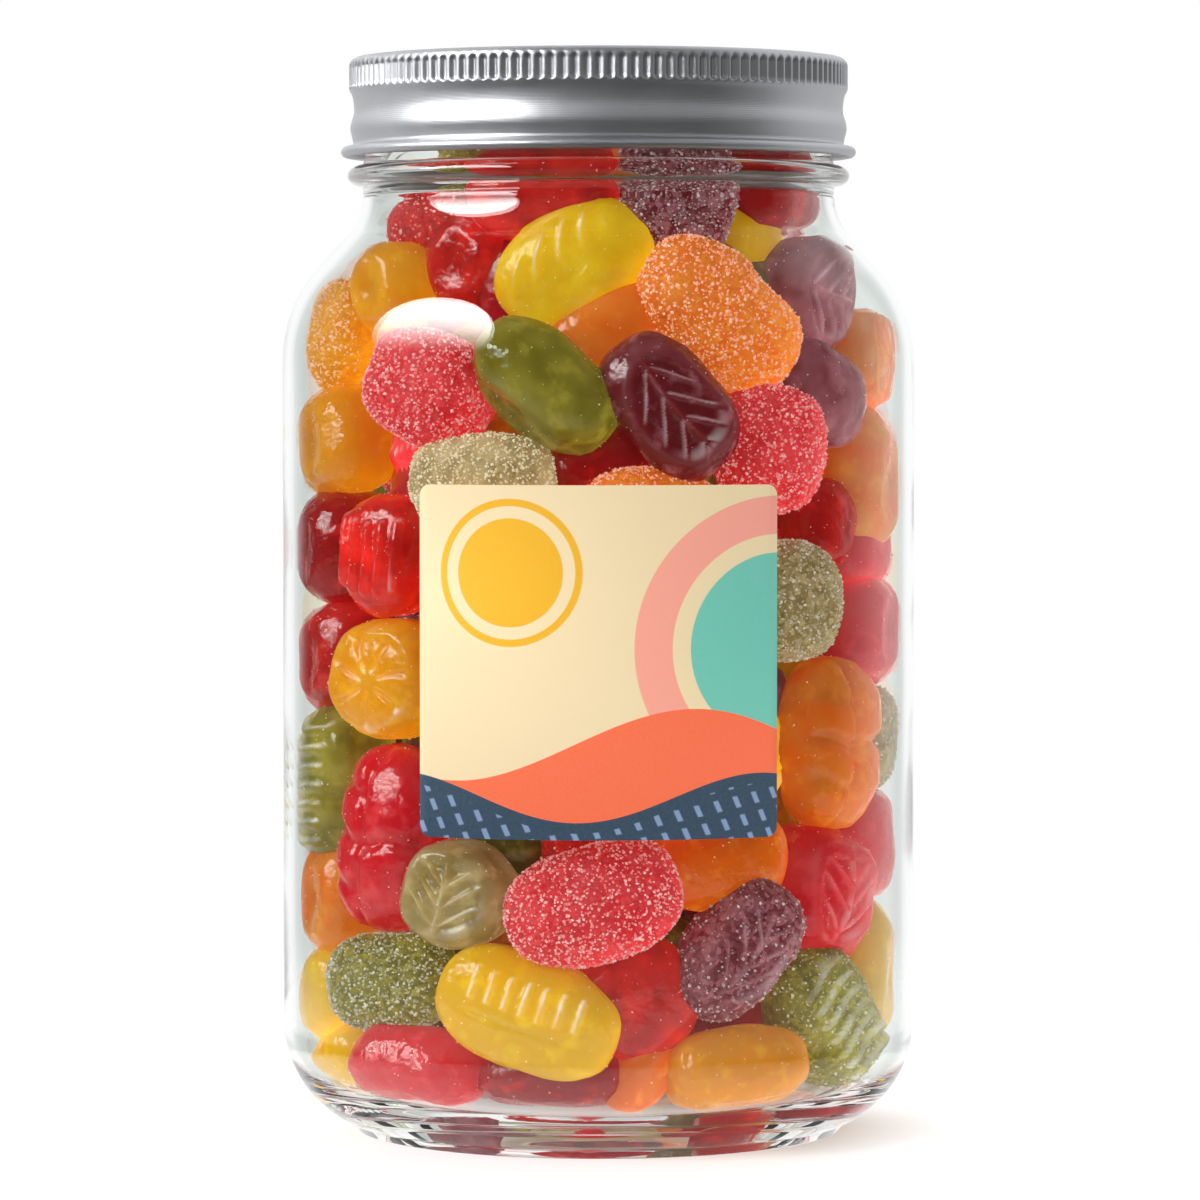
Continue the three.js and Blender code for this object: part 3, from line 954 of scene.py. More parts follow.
@dataclass(frozen=True)
class Face:
    """Places on a sweet's face: along its length, across its width, and out from its middle.

    Every relief gives how far the face stands out at each place, in millimetres.
    """

    s: Array
    t: Array
    rim: Array

    def plain(self) -> Array:
        """A smooth face."""
        return np.zeros_like(self.s)

    @staticmethod
    def off_line(place: Array, pitch: float) -> Array:
        """Distance from the nearest of many lines a pitch apart."""
        return np.abs((place / pitch + 0.5) % 1 - 0.5) * pitch

    @staticmethod
    def halfway(place: Array, width: float) -> Array:
        """A ridge halfway between whole numbers."""
        return hump(place - np.floor(place) - 0.5, width)

    def ribs(self, along: Array, over: Array, pitch: float) -> Array:
        """Raised bars a pitch apart, which end before the face does.

        Args:
            along: Places in the way that the bars repeat.
            over: Places along each bar.
            pitch: From one bar to the next.

        Returns:
            The height of the bars.
        """
        rise, core, foot = 0.8, 0.1, 0.36
        ends = fade(0.5, 0.64, np.abs(over)) * fade(0.7, 0.78, np.abs(along))
        return rise * fade(core * pitch, foot * pitch, self.off_line(along, pitch)) * ends

    def bars(self) -> Array:
        """Bars across the width."""
        return self.ribs(self.s, self.t, pitch=0.22)

    def stripes(self) -> Array:
        """Bars along the length."""
        return self.ribs(self.t, self.s, pitch=0.3)

    def comb(self) -> Array:
        """Thin teeth over one half and a crease under them.

        Returns:
            The height at each place.
        """
        rise, pitch, core, foot = 0.6, 0.2, 0.01, 0.05
        crease_deep, crease_at, crease_wide = 0.2, -0.22, 0.06
        length = np.abs(self.s)
        ends = ease(0.0, 0.06, self.t) * fade(0.56, 0.64, self.t) * fade(0.7, 0.74, length)
        crease = hump(self.t - crease_at, crease_wide) * fade(0.6, 0.8, length)
        teeth = rise * fade(core, foot, self.off_line(self.s, pitch))
        return teeth * ends - crease_deep * crease

    def fern(self) -> Array:
        """Soft slanting ribs over one half and a shallow crease.

        Returns:
            The height at each place.
        """
        rise, ribs, slant, sway, sharp = 0.6, 2.9, 0.35, 1.5, 2.5
        crease_deep, crease_at, crease_wide = 0.12, -0.1, 0.1
        turn = math.tau * ribs * (self.s - slant * self.t) + sway * np.sin(4 * self.t)
        wave = 0.5 + 0.5 * np.cos(turn)
        patch = ease(-0.05, 0.25, self.t) * fade(0.62, 0.8, self.rim)
        crease = hump(self.t - crease_at, crease_wide) * fade(0.5, 0.8, self.rim)
        return rise * wave**sharp * patch - crease_deep * crease

    def leaf(self) -> Array:
        """A sunk panel with raised veins and a rim.

        Returns:
            The height at each place.
        """
        deep, rise, branches, slant = 0.7, 0.9, 2.6, 0.75
        rim_rise, rim_at, rim_wide = 0.45, 0.76, 0.09
        panel = fade(0.55, 0.72, self.rim)
        branch = self.halfway((self.s - slant * np.abs(self.t)) * branches, width=0.11)
        veins = np.maximum(hump(self.t, 0.06), 0.8 * branch)
        return rim_rise * hump(self.rim - rim_at, rim_wide) + panel * (rise * veins - deep)

    def wheel(self) -> Array:
        """Sunk spokes round a hub, and a rim.

        Returns:
            The height at each place.
        """
        spokes, deep, hub, hub_wide = 7, 0.55, 0.3, 0.16
        rim_rise, rim_at, rim_wide = 0.55, 0.8, 0.08
        spoke = self.halfway(np.arctan2(self.t, self.s) * spokes / math.tau, width=0.1)
        ring = ease(0.1, 0.25, self.rim) * fade(0.64, 0.76, self.rim)
        rim = rim_rise * hump(self.rim - rim_at, rim_wide)
        return rim - deep * spoke * ring + hub * hump(self.rim, hub_wide)

    def lobes(self) -> Array:
        """Deep creases that part the face into lobes.

        Returns:
            The height at each place.
        """
        across, along, thirds = 1.1, 0.9, 0.6
        third = hump(np.abs(self.s) - 0.5, 0.09) * ease(0, 0.3, self.t)
        return -across * hump(self.s, 0.09) - along * hump(self.t - 0.12, 0.1) - thirds * third

    def dimple(self) -> Array:
        """A hollow with a soft rim.

        Returns:
            The height at each place.
        """
        rise, rim_at, rim_wide = 0.35, 0.6, 0.12
        deep, wide = 0.8, 0.34
        return rise * hump(self.rim - rim_at, rim_wide) - deep * hump(self.rim, wide)


@dataclass(frozen=True)
class Pattern:
    """A relief, how strongly painted highlights mark its edges, and how far its lines sway."""

    press: Callable[[Face], Array]
    # Strength of the painted highlights along its edges
    shine: float = 1.0
    sway: float = 0.05
    length_sway: Pair = (4.3, 1.0)
    width_sway: Pair = (3.7, 2.0)
    roundness: float = 2.4

    def height(self, s: Array, t: Array) -> Array:
        """How far the face stands out, in millimetres.

        Args:
            s: Place along the length, from -1 to 1.
            t: Place across the width.

        Returns:
            The height at each place.
        """
        (bend, start), (fold, onset) = self.length_sway, self.width_sway
        s, t = s + self.sway * np.sin(bend * t + start), t + self.sway * np.sin(fold * s + onset)
        power = self.roundness
        return self.press(Face(s, t, (np.abs(s) ** power + np.abs(t) ** power) ** (1 / power)))


class Relief(Enum):
    """What the mould presses into the face."""

    PLAIN = Pattern(Face.plain)
    BARS = Pattern(Face.bars)
    STRIPES = Pattern(Face.stripes)
    COMB = Pattern(Face.comb, sway=0.0)
    FERN = Pattern(Face.fern)
    LEAF = Pattern(Face.leaf, shine=0.4)
    WHEEL = Pattern(Face.wheel, shine=0.7)
    LOBES = Pattern(Face.lobes, shine=0.1)
    DIMPLE = Pattern(Face.dimple)


@dataclass(frozen=True)
class Form:
    """A mould: half sizes in millimetres, and how square its plan and its edge are."""

    half: Spot
    plan: float
    edge: float


class Mould(Enum):
    """The shapes that the sweets are cast in."""

    OVAL = Form((12.6, 8.5, 6.8), 2.6, 2.6)
    ROUND = Form((9.8, 9.4, 7.0), 2.2, 2.8)
    BLOCK = Form((10.0, 8.8, 7.6), 3.2, 3.0)


def reach(way: Array, form: Form) -> Array:
    """How far out a direction lies on a form, as a share of its half sizes.

    Args:
        way: Directions, one a row.
        form: The mould.

    Returns:
        One number for each direction.
    """
    size = np.abs(way)
    flat = size[:, 0] ** form.plan + size[:, 1] ** form.plan
    return (flat ** (form.edge / form.plan) + size[:, 2] ** form.edge) ** (-1 / form.edge)


def box_grid(nx: int, ny: int, nz: int) -> tuple[Array, Array]:
    """Directions spread over a sphere in the pattern of a box's six faces.

    Args:
        nx: Steps along the length.
        ny: Steps across the width.
        nz: Steps through the thickness.

    Returns:
        Unit directions, and four-sided faces that look out.
    """
    counts = (nx, ny, nz)
    found: dict[tuple[int, int, int], int] = {}
    quads = []
    for axis in range(3):
        u, v = (axis + 1) % 3, (axis + 2) % 3
        for end in (0, counts[axis]):
            numbers = np.empty((counts[u] + 1, counts[v] + 1), int)
            for i in range(counts[u] + 1):
                for j in range(counts[v] + 1):
                    spot = [0, 0, 0]
                    spot[axis], spot[u], spot[v] = end, i, j
                    numbers[i, j] = found.setdefault(tuple(spot), len(found))
            ring = [numbers[:-1, :-1], numbers[1:, :-1], numbers[1:, 1:], numbers[:-1, 1:]]
            quads.append(np.stack(ring if end else ring[::-1], -1).reshape(-1, 4))
    spots = np.array(list(found), float)
    ways = np.tan((spots / counts * 2 - 1) * math.pi / 4)
    return ways / np.linalg.norm(ways, axis=1)[:, None], np.concatenate(quads)


class Fineness(Enum):
    """How finely a sweet is meshed, by how well it can be seen."""

    FINE = (70, 42, 8)
    MEDIUM = (28, 18, 7)
    ROUGH = (18, 12, 6)
    COARSE = (9, 6, 4)


def level_way(degrees: float) -> Array:
    """Level direction at a bearing from the front."""
    angle = math.radians(degrees)
    return np.array([math.sin(angle), -math.cos(angle), 0.0])


@dataclass
class Sweet:
    """One gummy and its place: angles in degrees, lengths in millimetres."""

    bearing: float
    height: float
    back: float
    turn: float
    roll: float
    mould: Mould
    size: float = 1.0
    flavour: Flavour = Flavour.RED
    coat: Coat = Coat.GLOSSY
    relief: Relief = Relief.PLAIN
    tone: float = 0.5
    facing: float = 0.0
    radius: float = 0.0
    number: int = 0
    fineness: Fineness = Fineness.ROUGH
    # Painted shade, as the share of its colour and glow that is left
    shade: float = 1.0
    touch: Array = field(default_factory=lambda: np.zeros((0, 3)))

    @property
    def out(self) -> Array:
        """Level direction from the axis to the sweet."""
        return level_way(self.bearing)

    @property
    def axes(self) -> Array:
        """Unit directions of its length, width and face, one a row."""
        turn, roll = math.radians(self.turn), math.radians(self.roll)
        look = level_way(self.facing)
        level = np.array([-look[1], look[0], 0.0])
        up = np.array([0.0, 0.0, 1.0])
        length = level * math.cos(turn) + up * math.sin(turn)
        across = up * math.cos(turn) - level * math.sin(turn)
        width = across * math.cos(roll) + look * math.sin(roll)
        face = look * math.cos(roll) - across * math.sin(roll)
        return np.array([length, width, face])

    @property
    def centre(self) -> Array:
        """Its middle."""
        return self.out * self.radius + np.array([0.0, 0.0, self.height])

    @property
    def form(self) -> Form:
        """Its mould, a little larger or smaller each way than the next one's."""
        made = self.mould.value
        turns = [NEXT_SWEET * self.number + NEXT_AXIS * k for k in range(3)]
        uneven = [1 + UNEVEN * math.sin(turn) for turn in turns]
        half = [h * self.size * share for h, share in zip(made.half, uneven)]
        return Form(tuple(half), made.plan, made.edge)

    @property
    def tint(self) -> Array:
        """Its colour, from the flavour's deep one to its pale one, darkened by its painted shade."""
        taste = self.flavour.value
        deep, pale = np.array(colour(taste.deep)), np.array(colour(taste.pale))
        return (deep * (1 - self.tone) + pale * self.tone) * self.shade

    def tints(self, pale: Array, painted_glow: Array) -> Array:
        """Colours over its skin, with painted light.

        Args:
            pale: How far each place goes from its colour to the flavour's pale one, as painted light.
            painted_glow: How much painted glow the jelly gives there, standing in for light that it
                gathers.

        Returns:
            Red, green and blue, and the strength of the painted glow as the fourth value.
        """
        light = np.array(colour(self.flavour.value.pale)) * self.shade
        tints = self.tint + (light - self.tint) * pale[:, None]
        tints[:, 3] = np.clip(painted_glow, 0, 1) * self.shade
        return tints

    def spread(self, ways: Array) -> Array:
        """Surface points in the directions given, from its middle and along its own axes."""
        form = self.form
        return ways * reach(ways, form)[:, None] * np.array(form.half)

    def normals(self, local: Array) -> Array:
        """Directions straight out of its smooth skin.

        Args:
            local: Points of the skin, from its middle and along its own axes.

        Returns:
            A unit direction for each point, along the same axes.
        """
        form = self.form
        share = local / np.array(form.half)
        flat = np.abs(share[:, 0]) ** form.plan + np.abs(share[:, 1]) ** form.plan
        slope = np.maximum(flat, TINY) ** (form.edge / form.plan - 1)
        steep = np.sign(share) * np.abs(share) ** (np.array([form.plan, form.plan, form.edge]) - 1)
        steep[:, :2] *= slope[:, None]
        normal = steep / np.array(form.half)
        return normal / np.linalg.norm(normal, axis=1)[:, None]

    def holds(self, points: Array, squeeze: float) -> bool:
        """True if a point lies in it by more than soft sweets squeeze."""
        local = (points - self.centre) @ self.axes.T / (np.array(self.form.half) * squeeze)
        return bool((reach(local, self.form) > 1).any())


def around_and_along(around: int, along: int) -> Array:
    """Directions of a sphere in rings, with its poles at the ends of the length.

    Args:
        around: Directions in each ring.
        along: Steps from pole to pole.

    Returns:
        Directions, one a row.
    """
    lean, spin = np.meshgrid(
        math.pi * np.arange(along + 1) / along, math.tau * np.arange(around) / around, indexing="ij"
    )
    ways = [np.cos(lean), np.sin(lean) * np.cos(spin), np.sin(lean) * np.sin(spin)]
    return np.stack(ways, -1).reshape(-1, 3)


class Draws:
    """A repeatable stream of numbers from 0 to 1."""

    factor = 16807
    limit = 2147483647

    def __init__(self, seed: int) -> None:
        """Starts the stream."""
        self.state = seed

    def next(self) -> float:
        """The next number."""
        self.state = self.state * self.factor % self.limit
        return self.state / self.limit

    def spread(self, size: float) -> float:
        """The next number, from minus size to size."""
        return size * (2 * self.next() - 1)

    def pick(self, choices: Sequence[Choice]) -> Choice:
        """One of several things."""
        return choices[int(self.next() * len(choices))]


LEMON, AMBER, ORANGE, RED, PINK, GREEN, OLIVE, PURPLE = Flavour
GLOSSY, DUSTED, SUGARED = Coat
PLAIN, BARS, STRIPES, COMB, FERN, LEAF, WHEEL, LOBES, DIMPLE = Relief
OVAL, ROUND, BLOCK = Mould
TINY = 1e-9
UNEVEN = 0.05
NEXT_SWEET = 2.4
NEXT_AXIS = 2.1
FRONT_FACING = 0.78
# Direction towards the key lamp, by which highlights, sheen, glow and shade are painted into the sweets'
# tints
PAINTED_LIGHT_FROM = (-0.66, -0.45, 0.6)

# Bearing, height, distance back from the glass, turn, roll, mould, size, flavour, coat, relief, tone
FRONT_SWEETS = [
    Sweet(-7, 136, 0, 35, 0, OVAL, 0.97, LEMON, GLOSSY, FERN, 0.8),
    Sweet(31, 128.5, 0, -38, 0, OVAL, 1.06, ORANGE, SUGARED, PLAIN, 0.5),
    Sweet(-12, 118, 0, -40, 62, OVAL, 1.02, GREEN, GLOSSY, DIMPLE, 0.35),
    Sweet(15, 115, 1, -52, 0, OVAL, 0.92, PURPLE, GLOSSY, LEAF, 0.0),
    Sweet(-42, 117.5, 1, -25, 0, BLOCK, 0.98, PINK, SUGARED, PLAIN, 0.25),
    Sweet(69, 132, 0, -15, 0, ROUND, 0.9, PURPLE, GLOSSY, LEAF, 1.0),
    Sweet(42, 108.5, 2, 80, 0, ROUND, 0.98, PINK, SUGARED, PLAIN, 0.5),
    Sweet(-27, 103, 2, 3, 55, OVAL, 0.98, OLIVE, SUGARED, BARS, 1.0),
    Sweet(-82, 109.5, 0, 10, 0, BLOCK, 0.94, AMBER, GLOSSY, DIMPLE, 0.1),
    Sweet(-52, 92, 1, 84, 0, ROUND, 0.96, RED, GLOSSY, STRIPES, 0.9),
    Sweet(-52, 73, 1, 84, 0, ROUND, 1, AMBER, GLOSSY, WHEEL, 0.3),
    Sweet(64, 62.5, 1, 86, 0, OVAL, 1.02, ORANGE, GLOSSY, LOBES, 0.45),
    Sweet(47, 85, 2, 88, 0, ROUND, 0.98, OLIVE, SUGARED, PLAIN, 0.3),
    Sweet(82, 103.5, 0, 84, 0, OVAL, 0.98, ORANGE, GLOSSY, DIMPLE, 0.75),
    Sweet(-53, 48, 1, 82, 0, OVAL, 1.12, PINK, GLOSSY, LOBES, 0.1),
    Sweet(-32, 40.5, 1, 75, 0, ROUND, 0.9, OLIVE, GLOSSY, LEAF, 0.55),
    Sweet(-1, 39.5, 0, 18, 0, OVAL, 1.02, PINK, SUGARED, PLAIN, 0.55),
    Sweet(31, 32, 0, 52, 0, OVAL, 0.94, PURPLE, DUSTED, LEAF, 0.15),
    Sweet(62, 39, 2, 75, 0, BLOCK, 1.04, PINK, GLOSSY, LEAF, 0.5),
    Sweet(-15, 22.7, 0, -18, 0, OVAL, 1.06, LEMON, GLOSSY, COMB, 0.2),
    Sweet(-52, 26, 1, 8, 0, OVAL, 0.9, GREEN, SUGARED, PLAIN, 0.3),
    Sweet(60, 20, 1, -52, 0, OVAL, 0.96, GREEN, DUSTED, BARS, 0.5),
    Sweet(32, 13, 0, 4, 60, OVAL, 0.9, AMBER, GLOSSY, DIMPLE, 0.0),
    Sweet(-44, 12.9, 0, -4, 60, OVAL, 0.9, PINK, GLOSSY, DIMPLE, 0.2),
    Sweet(-80, 55.5, 0, 80, 0, OVAL, 1.02, GREEN, GLOSSY, BARS, 0.75),
    Sweet(-82, 92.5, 0, 86, 0, BLOCK, 0.95, RED, GLOSSY, DIMPLE, 0.05),
    Sweet(-80, 75.5, 0, 10, 0, BLOCK, 0.9, RED, GLOSSY, DIMPLE, 0.5),
    Sweet(-80, 37.5, 0, 70, 0, ROUND, 0.95, ORANGE, GLOSSY, DIMPLE, 0.85),
    Sweet(9, 25, 4, -50, 0, ROUND, 1, RED, GLOSSY, PLAIN, 0.8),
    Sweet(29, 45.5, 4, 8, 0, OVAL, 0.85, ORANGE, GLOSSY, PLAIN, 0.1),
    Sweet(-62, 133, 0, 20, 0, ROUND, 0.74, AMBER, GLOSSY, DIMPLE, 0.3),
    Sweet(-82, 126, 0, 70, 0, OVAL, 0.72, AMBER, SUGARED, PLAIN, 0.4),
    Sweet(-42, 137, 3, 55, 0, ROUND, 0.74, RED, GLOSSY, DIMPLE, 0.5),
    Sweet(86, 122.5, 0, 80, 0, ROUND, 0.86, ORANGE, GLOSSY, WHEEL, 0.8),
    Sweet(82, 80, 0, 86, 0, BLOCK, 0.92, PINK, GLOSSY, DIMPLE, 0.5),
    Sweet(84, 91.5, 0, 0, 0, OVAL, 0.72, PINK, GLOSSY, PLAIN, 0.6),
    Sweet(84, 62.5, 0, 86, 0, OVAL, 0.72, OLIVE, DUSTED, PLAIN, 0.8),
    Sweet(84, 46, 0, 86, 0, BLOCK, 0.85, PINK, GLOSSY, PLAIN, 0.8),
    Sweet(84, 25, 0, 86, 0, OVAL, 0.98, LEMON, GLOSSY, DIMPLE, 0.7),
    Sweet(58, 117, 3, -30, 0, OVAL, 0.82, PURPLE, GLOSSY, PLAIN, 0.6),
    Sweet(2, 126.5, 9, 30, 0, OVAL, 0.72, ORANGE, GLOSSY, PLAIN, 0.3),
    Sweet(1, 105, 9, 20, 0, OVAL, 0.75, RED, GLOSSY, PLAIN, 0.1),
    Sweet(12, 98, 3, 0, 0, OVAL, 0.85, ORANGE, SUGARED, PLAIN, 0.2),
    Sweet(-80, 22.5, 0, 80, 0, ROUND, 0.72, LEMON, GLOSSY, PLAIN, 1.0),
    Sweet(-78, 12.1, 0, 20, 40, OVAL, 0.66, LEMON, GLOSSY, PLAIN, 0.6),
    Sweet(-11, 12.6, 3, 0, 60, OVAL, 0.85, RED, GLOSSY, PLAIN, 0.0),
    Sweet(9, 12.9, 3, 60, 40, OVAL, 0.6, ORANGE, GLOSSY, PLAIN, 0.2),
    Sweet(60, 138, 5, 0, 0, ROUND, 0.82, LEMON, GLOSSY, PLAIN, 0.4),
    Sweet(-60, 142, 1, 0, 0, OVAL, 0.7, RED, DUSTED, PLAIN, 0.6),
    Sweet(25, 146, 0, 80, 0, BLOCK, 1, PURPLE, SUGARED, PLAIN, 0.0),
    Sweet(-17, 148, 0, 10, 0, OVAL, 0.9, RED, GLOSSY, PLAIN, 0.7),
    Sweet(74, 147, 0, 5, 0, OVAL, 0.85, RED, GLOSSY, PLAIN, 0.3),
    Sweet(66, 97, 5, 0, 0, ROUND, 0.7, RED, GLOSSY, PLAIN, 0.4),
]


@dataclass(frozen=True)
class JellyFinish:
    """Soft jelly that light goes into, glossy or rough with crystals, with a painted glow, sizes in
    millimetres.
    """

    taste: Taste
    name: str
    sugared: bool
    # Strength of the painted glow, which stands in for light gathered in the jelly
    painted_glow_strength: float = 0.9
    shine: float = 0.4
    depth_share: float = 0.7
    cloud_size: float = 5.0
    cloud_turn: Pair = (0.5, 0.35)
    vein_size: float = 3.2
    vein_turn: Pair = (0.62, 0.16)
    vein_share: float = 0.4
    wrinkle: float = 2.6
    wrinkle_depth: float = 0.45
    fine: float = 0.7
    fine_share: float = 0.1
    fine_gloss: Pair = (0.02, 0.06)
    crystal: float = 0.75
    crystal_depth: float = 0.3
    crystal_pale: float = 0.7
    crystal_gloss: Pair = (0.3, 0.3)

    def material(self) -> bpy.types.Material:
        """Makes the finish from the tint of each sweet.

        Returns:
            The jelly.
        """
        material, dress = Dress.of_material(self.name)
        pale = colour(self.taste.pale)
        tint, painted_glow = dress.node("ShaderNodeVertexColor", {"layer_name": TINT}).outputs
        cloud = dress.noise(self.cloud_size, detail=1.5).above(*self.cloud_turn)
        dark = dress.mix(self.depth_share, tint, colour(self.taste.deep))
        veins = dress.noise(self.vein_size, detail=3.0).above(*self.vein_turn) * self.vein_share
        body = dress.mix(veins, dress.mix(cloud, dark, tint), pale)
        if self.sugared:
            spots = {"Vector": dress.place(), "Scale": 1 / (self.crystal * MM)}
            cells = dress.node("ShaderNodeTexVoronoi", None, spots).outputs
            draw = dress.signal("ShaderNodeSeparateColor", None, {0: cells["Color"]})
            body = dress.mix(draw**2 * self.crystal_pale, body, pale)
            normal = dress.bump(1 - Signal(dress, cells["Distance"]), self.crystal_depth)
            smooth, dull = self.crystal_gloss
        else:
            draw = dress.noise(self.fine, detail=1.0)
            folds = dress.noise(self.wrinkle, detail=2.0) + draw * self.fine_share
            normal = dress.bump(folds, self.wrinkle_depth)
            smooth, dull = self.fine_gloss
        dress.surface(
            {
                "Base Color": body,
                "Roughness": draw * dull + smooth,
                "Specular IOR Level": self.shine,
                "Subsurface Weight": 1.0,
                "Subsurface Radius": [d * MM for d in self.taste.depth],
                "Subsurface Scale": 1.0,
                # Painted glow from each corner's tint: stronger away from the lamp, weaker in hollows
                "Emission Color": dress.mix(painted_glow, BLACK, body),
                "Emission Strength": self.painted_glow_strength,
                "Normal": normal,
            },
            {"subsurface_method": "BURLEY"},
        )
        return material


@dataclass(frozen=True)
class SugarFinish:
    """Small clear crystals that take the colour of what they lie on, with a painted glow."""

    roughness: Pair = (0.18, 0.2)
    # Strength of the grains' painted glow
    painted_glow_strength: float = 0.45
    shine: float = 0.7
    sparkle: float = 1.2
    sparkle_share: float = 0.3

    def material(self) -> bpy.types.Material:
        """Makes the finish.

        Returns:
            The sugar.
        """
        material, dress = Dress.of_material("sugar_grains")
        tint = dress.node("ShaderNodeVertexColor", {"layer_name": TINT}).outputs[0]
        sparkle = dress.noise(self.sparkle, detail=2.0)
        smooth, dull = self.roughness
        dress.surface(
            {
                "Base Color": dress.mix(sparkle * self.sparkle_share, tint, WHITE),
                "Roughness": sparkle * dull + smooth,
                "Specular IOR Level": self.shine,
                "Emission Color": tint,
                "Emission Strength": self.painted_glow_strength,
            }
        )
        return material


@dataclass(frozen=True)
class Skin:
    """How soft jelly comes out of its mould, with the light and shade painted into its tints, lengths in
    millimetres.

    A turn is where something starts and where it is complete.
    """

    face_turn: Pair = (0.1, 0.55)
    edge_at: float = 0.45
    edge_wide: float = 0.1
    edge_rise: float = 0.28
    edge_turn: Pair = (0.75, 0.95)
    waves: Spot = (17.0, 11.0, 7.0)
    unevenness: float = 0.24
    crystals: float = 0.06
    # Painted highlights on relief slopes that face the lamp: their strength, step and turn
    painted_glint: float = 0.6
    glint_step: float = 0.035
    glint_turn: Pair = (0.05, 0.3)
    relief_most: float = 0.8
    # Painted light: paler on the side towards the lamp, and a painted highlight on raised relief
    painted_lit_pale: float = 0.15
    painted_raised_highlight: float = 0.25
    # Painted glow: some all over, more on the side away from the lamp, and less in sunk relief as painted
    # shade
    glow_all: float = 0.2
    glow_far: float = 0.65
    glow_turn: Pair = (-0.5, 0.9)
    glow_sunk: float = 0.3
    # Painted sheen: colours greyer on the side towards the lamp
    painted_sheen: float = 0.04
    painted_sheen_turn: Pair = (-0.3, 1.0)
    seed: int = 1000

    def carve(self, sweet: Sweet, ways: Array) -> tuple[Array, Array]:
        """The sweet's skin, with the mould's relief and the unevenness of soft jelly, and its tints with
        painted light and shade.

        Args:
            sweet: The sweet.
            ways: Directions from its middle.

        Returns:
            Points along its own axes from its middle, and the tint of each, with painted highlights,
            sheen, glow and shade.
        """
        local = sweet.spread(ways)
        share = local / np.array(sweet.form.half)
        normal = sweet.normals(local)
        pattern = sweet.relief.value
        face = ease(*self.face_turn, normal[:, 2])
        relief = face * pattern.height(share[:, 0], share[:, 1])
        edge = hump(share[:, 2] - self.edge_at, self.edge_wide) * fade(*self.edge_turn, normal[:, 2])
        rise = relief + self.edge_rise * edge
        draws = np.random.default_rng(self.seed + sweet.number)
        for size in self.waves:
            wave = draws.normal(size=3)
            wave *= math.tau / size / np.linalg.norm(wave)
            swing = np.sin(local @ wave + draws.uniform(0, math.tau))
            rise = rise + self.unevenness * size / self.waves[0] * swing
        if sweet.coat is SUGARED:
            rise = rise + draws.normal(0, self.crystals, len(local))
        # Painted light from here on: highlights on slopes facing the lamp, a paler lit side and ridges,
        # glow away from the lamp, less glow in hollows, and a greyer sheen on the lit side
        lamp = sweet.axes @ np.array(PAINTED_LIGHT_FROM)
        towards = normal @ lamp
        step = share[:, :2] + self.glint_step * lamp[:2]
        fall = relief - face * pattern.height(step[:, 0], step[:, 1])
        painted_glint = self.painted_glint * pattern.shine * ease(*self.glint_turn, fall)[:, None]
        raised, sunk = (np.clip(way * relief, 0, self.relief_most) for way in (1, -1))
        pale = self.painted_lit_pale * np.clip(towards, 0, 1) + self.painted_raised_highlight * raised
        painted_glow = self.glow_all + self.glow_far * ease(*self.glow_turn, -towards) - self.glow_sunk * sunk
        tints = sweet.tints(pale, painted_glow)
        seen = tints[:, :3]
        seen += self.painted_sheen * ease(*self.painted_sheen_turn, towards)[:, None] * (seen.mean(axis=1)[:, None] - seen)
        seen += painted_glint * (sweet.shade - seen)
        return local + normal * rise[:, None], tints


@dataclass(frozen=True)
class Sugar:
    """Crystals on the side of a sweet that looks out of the jar, sizes in millimetres."""

    grain: float = 0.27
    fleck: float = 0.14
    sizes: Pair = (0.5, 1.15)
    stretch: Pair = (0.6, 1.4)
    lift: float = 0.08
    least_out: float = -0.25
    far_share: float = 0.4
    white: str = "#FFFBF5"
    white_least: float = 0.08
    white_more: float = 0.46
    white_power: float = 2.5
    seed: int = 5000

    @staticmethod
    def diamond() -> tuple[Array, Array]:
        """One crystal, of size one.

        Returns:
            Its corners and its three-sided faces.
        """
        belt = [[1, 0, 0], [0, 1, 0], [-1, 0, 0], [0, -1, 0]]
        corners = np.array([*belt, [0, 0, 1], [0, 0, -1]], float)
        upper = [[k, (k + 1) % 4, 4] for k in range(4)]
        lower = [[(k + 1) % 4, k, 5] for k in range(4)]
        return corners, np.array(upper + lower)

    def grains(self, sweet: Sweet, points: Array, quads: Array) -> Part:
        """Scatters crystals over a sweet.

        Args:
            sweet: The sweet.
            points: Its skin.
            quads: Its faces.

        Returns:
            Corners, three-sided faces and a tint for each corner.
        """
        draws = np.random.default_rng(self.seed + sweet.number)
        a, b, c, d = (points[quads[:, k]] for k in range(4))
        cross = np.cross(c - a, d - b)
        area = np.linalg.norm(cross, axis=1) / 2
        normal = cross / (2 * area[:, None] + TINY)
        seen = area * (normal @ sweet.out > self.least_out)
        share = self.far_share if sweet.fineness is Fineness.ROUGH else 1.0
        count = int(seen.sum() * sweet.coat.value * share)
        picked = draws.choice(len(quads), count, p=seen / seen.sum())
        u, v = draws.random((2, count, 1))
        low = a[picked] * (1 - u) + b[picked] * u
        high = d[picked] * (1 - u) + c[picked] * u
        spot = low * (1 - v) + high * v + normal[picked] * self.lift
        grain = self.fleck if sweet.coat is GLOSSY else self.grain
        size = grain * draws.uniform(*self.sizes, (count, 1))
        size = size * draws.uniform(*self.stretch, (count, 3))
        spin = np.linalg.qr(draws.normal(size=(count, 3, 3)))[0]
        diamond, cut = self.diamond()
        corners = (diamond[None] * size[:, None]) @ spin + spot[:, None]
        faces = cut[None] + len(diamond) * np.arange(count)[:, None, None]
        flipped = np.linalg.det(spin) < 0
        faces[flipped] = faces[flipped][:, :, ::-1]
        white = self.white_least + self.white_more * draws.random((count, 1)) ** self.white_power
        tint = sweet.tint * (1 - white) + np.array(colour(self.white)) * white
        return corners.reshape(-1, 3), faces.reshape(-1, 3), np.repeat(tint, len(diamond), axis=0)


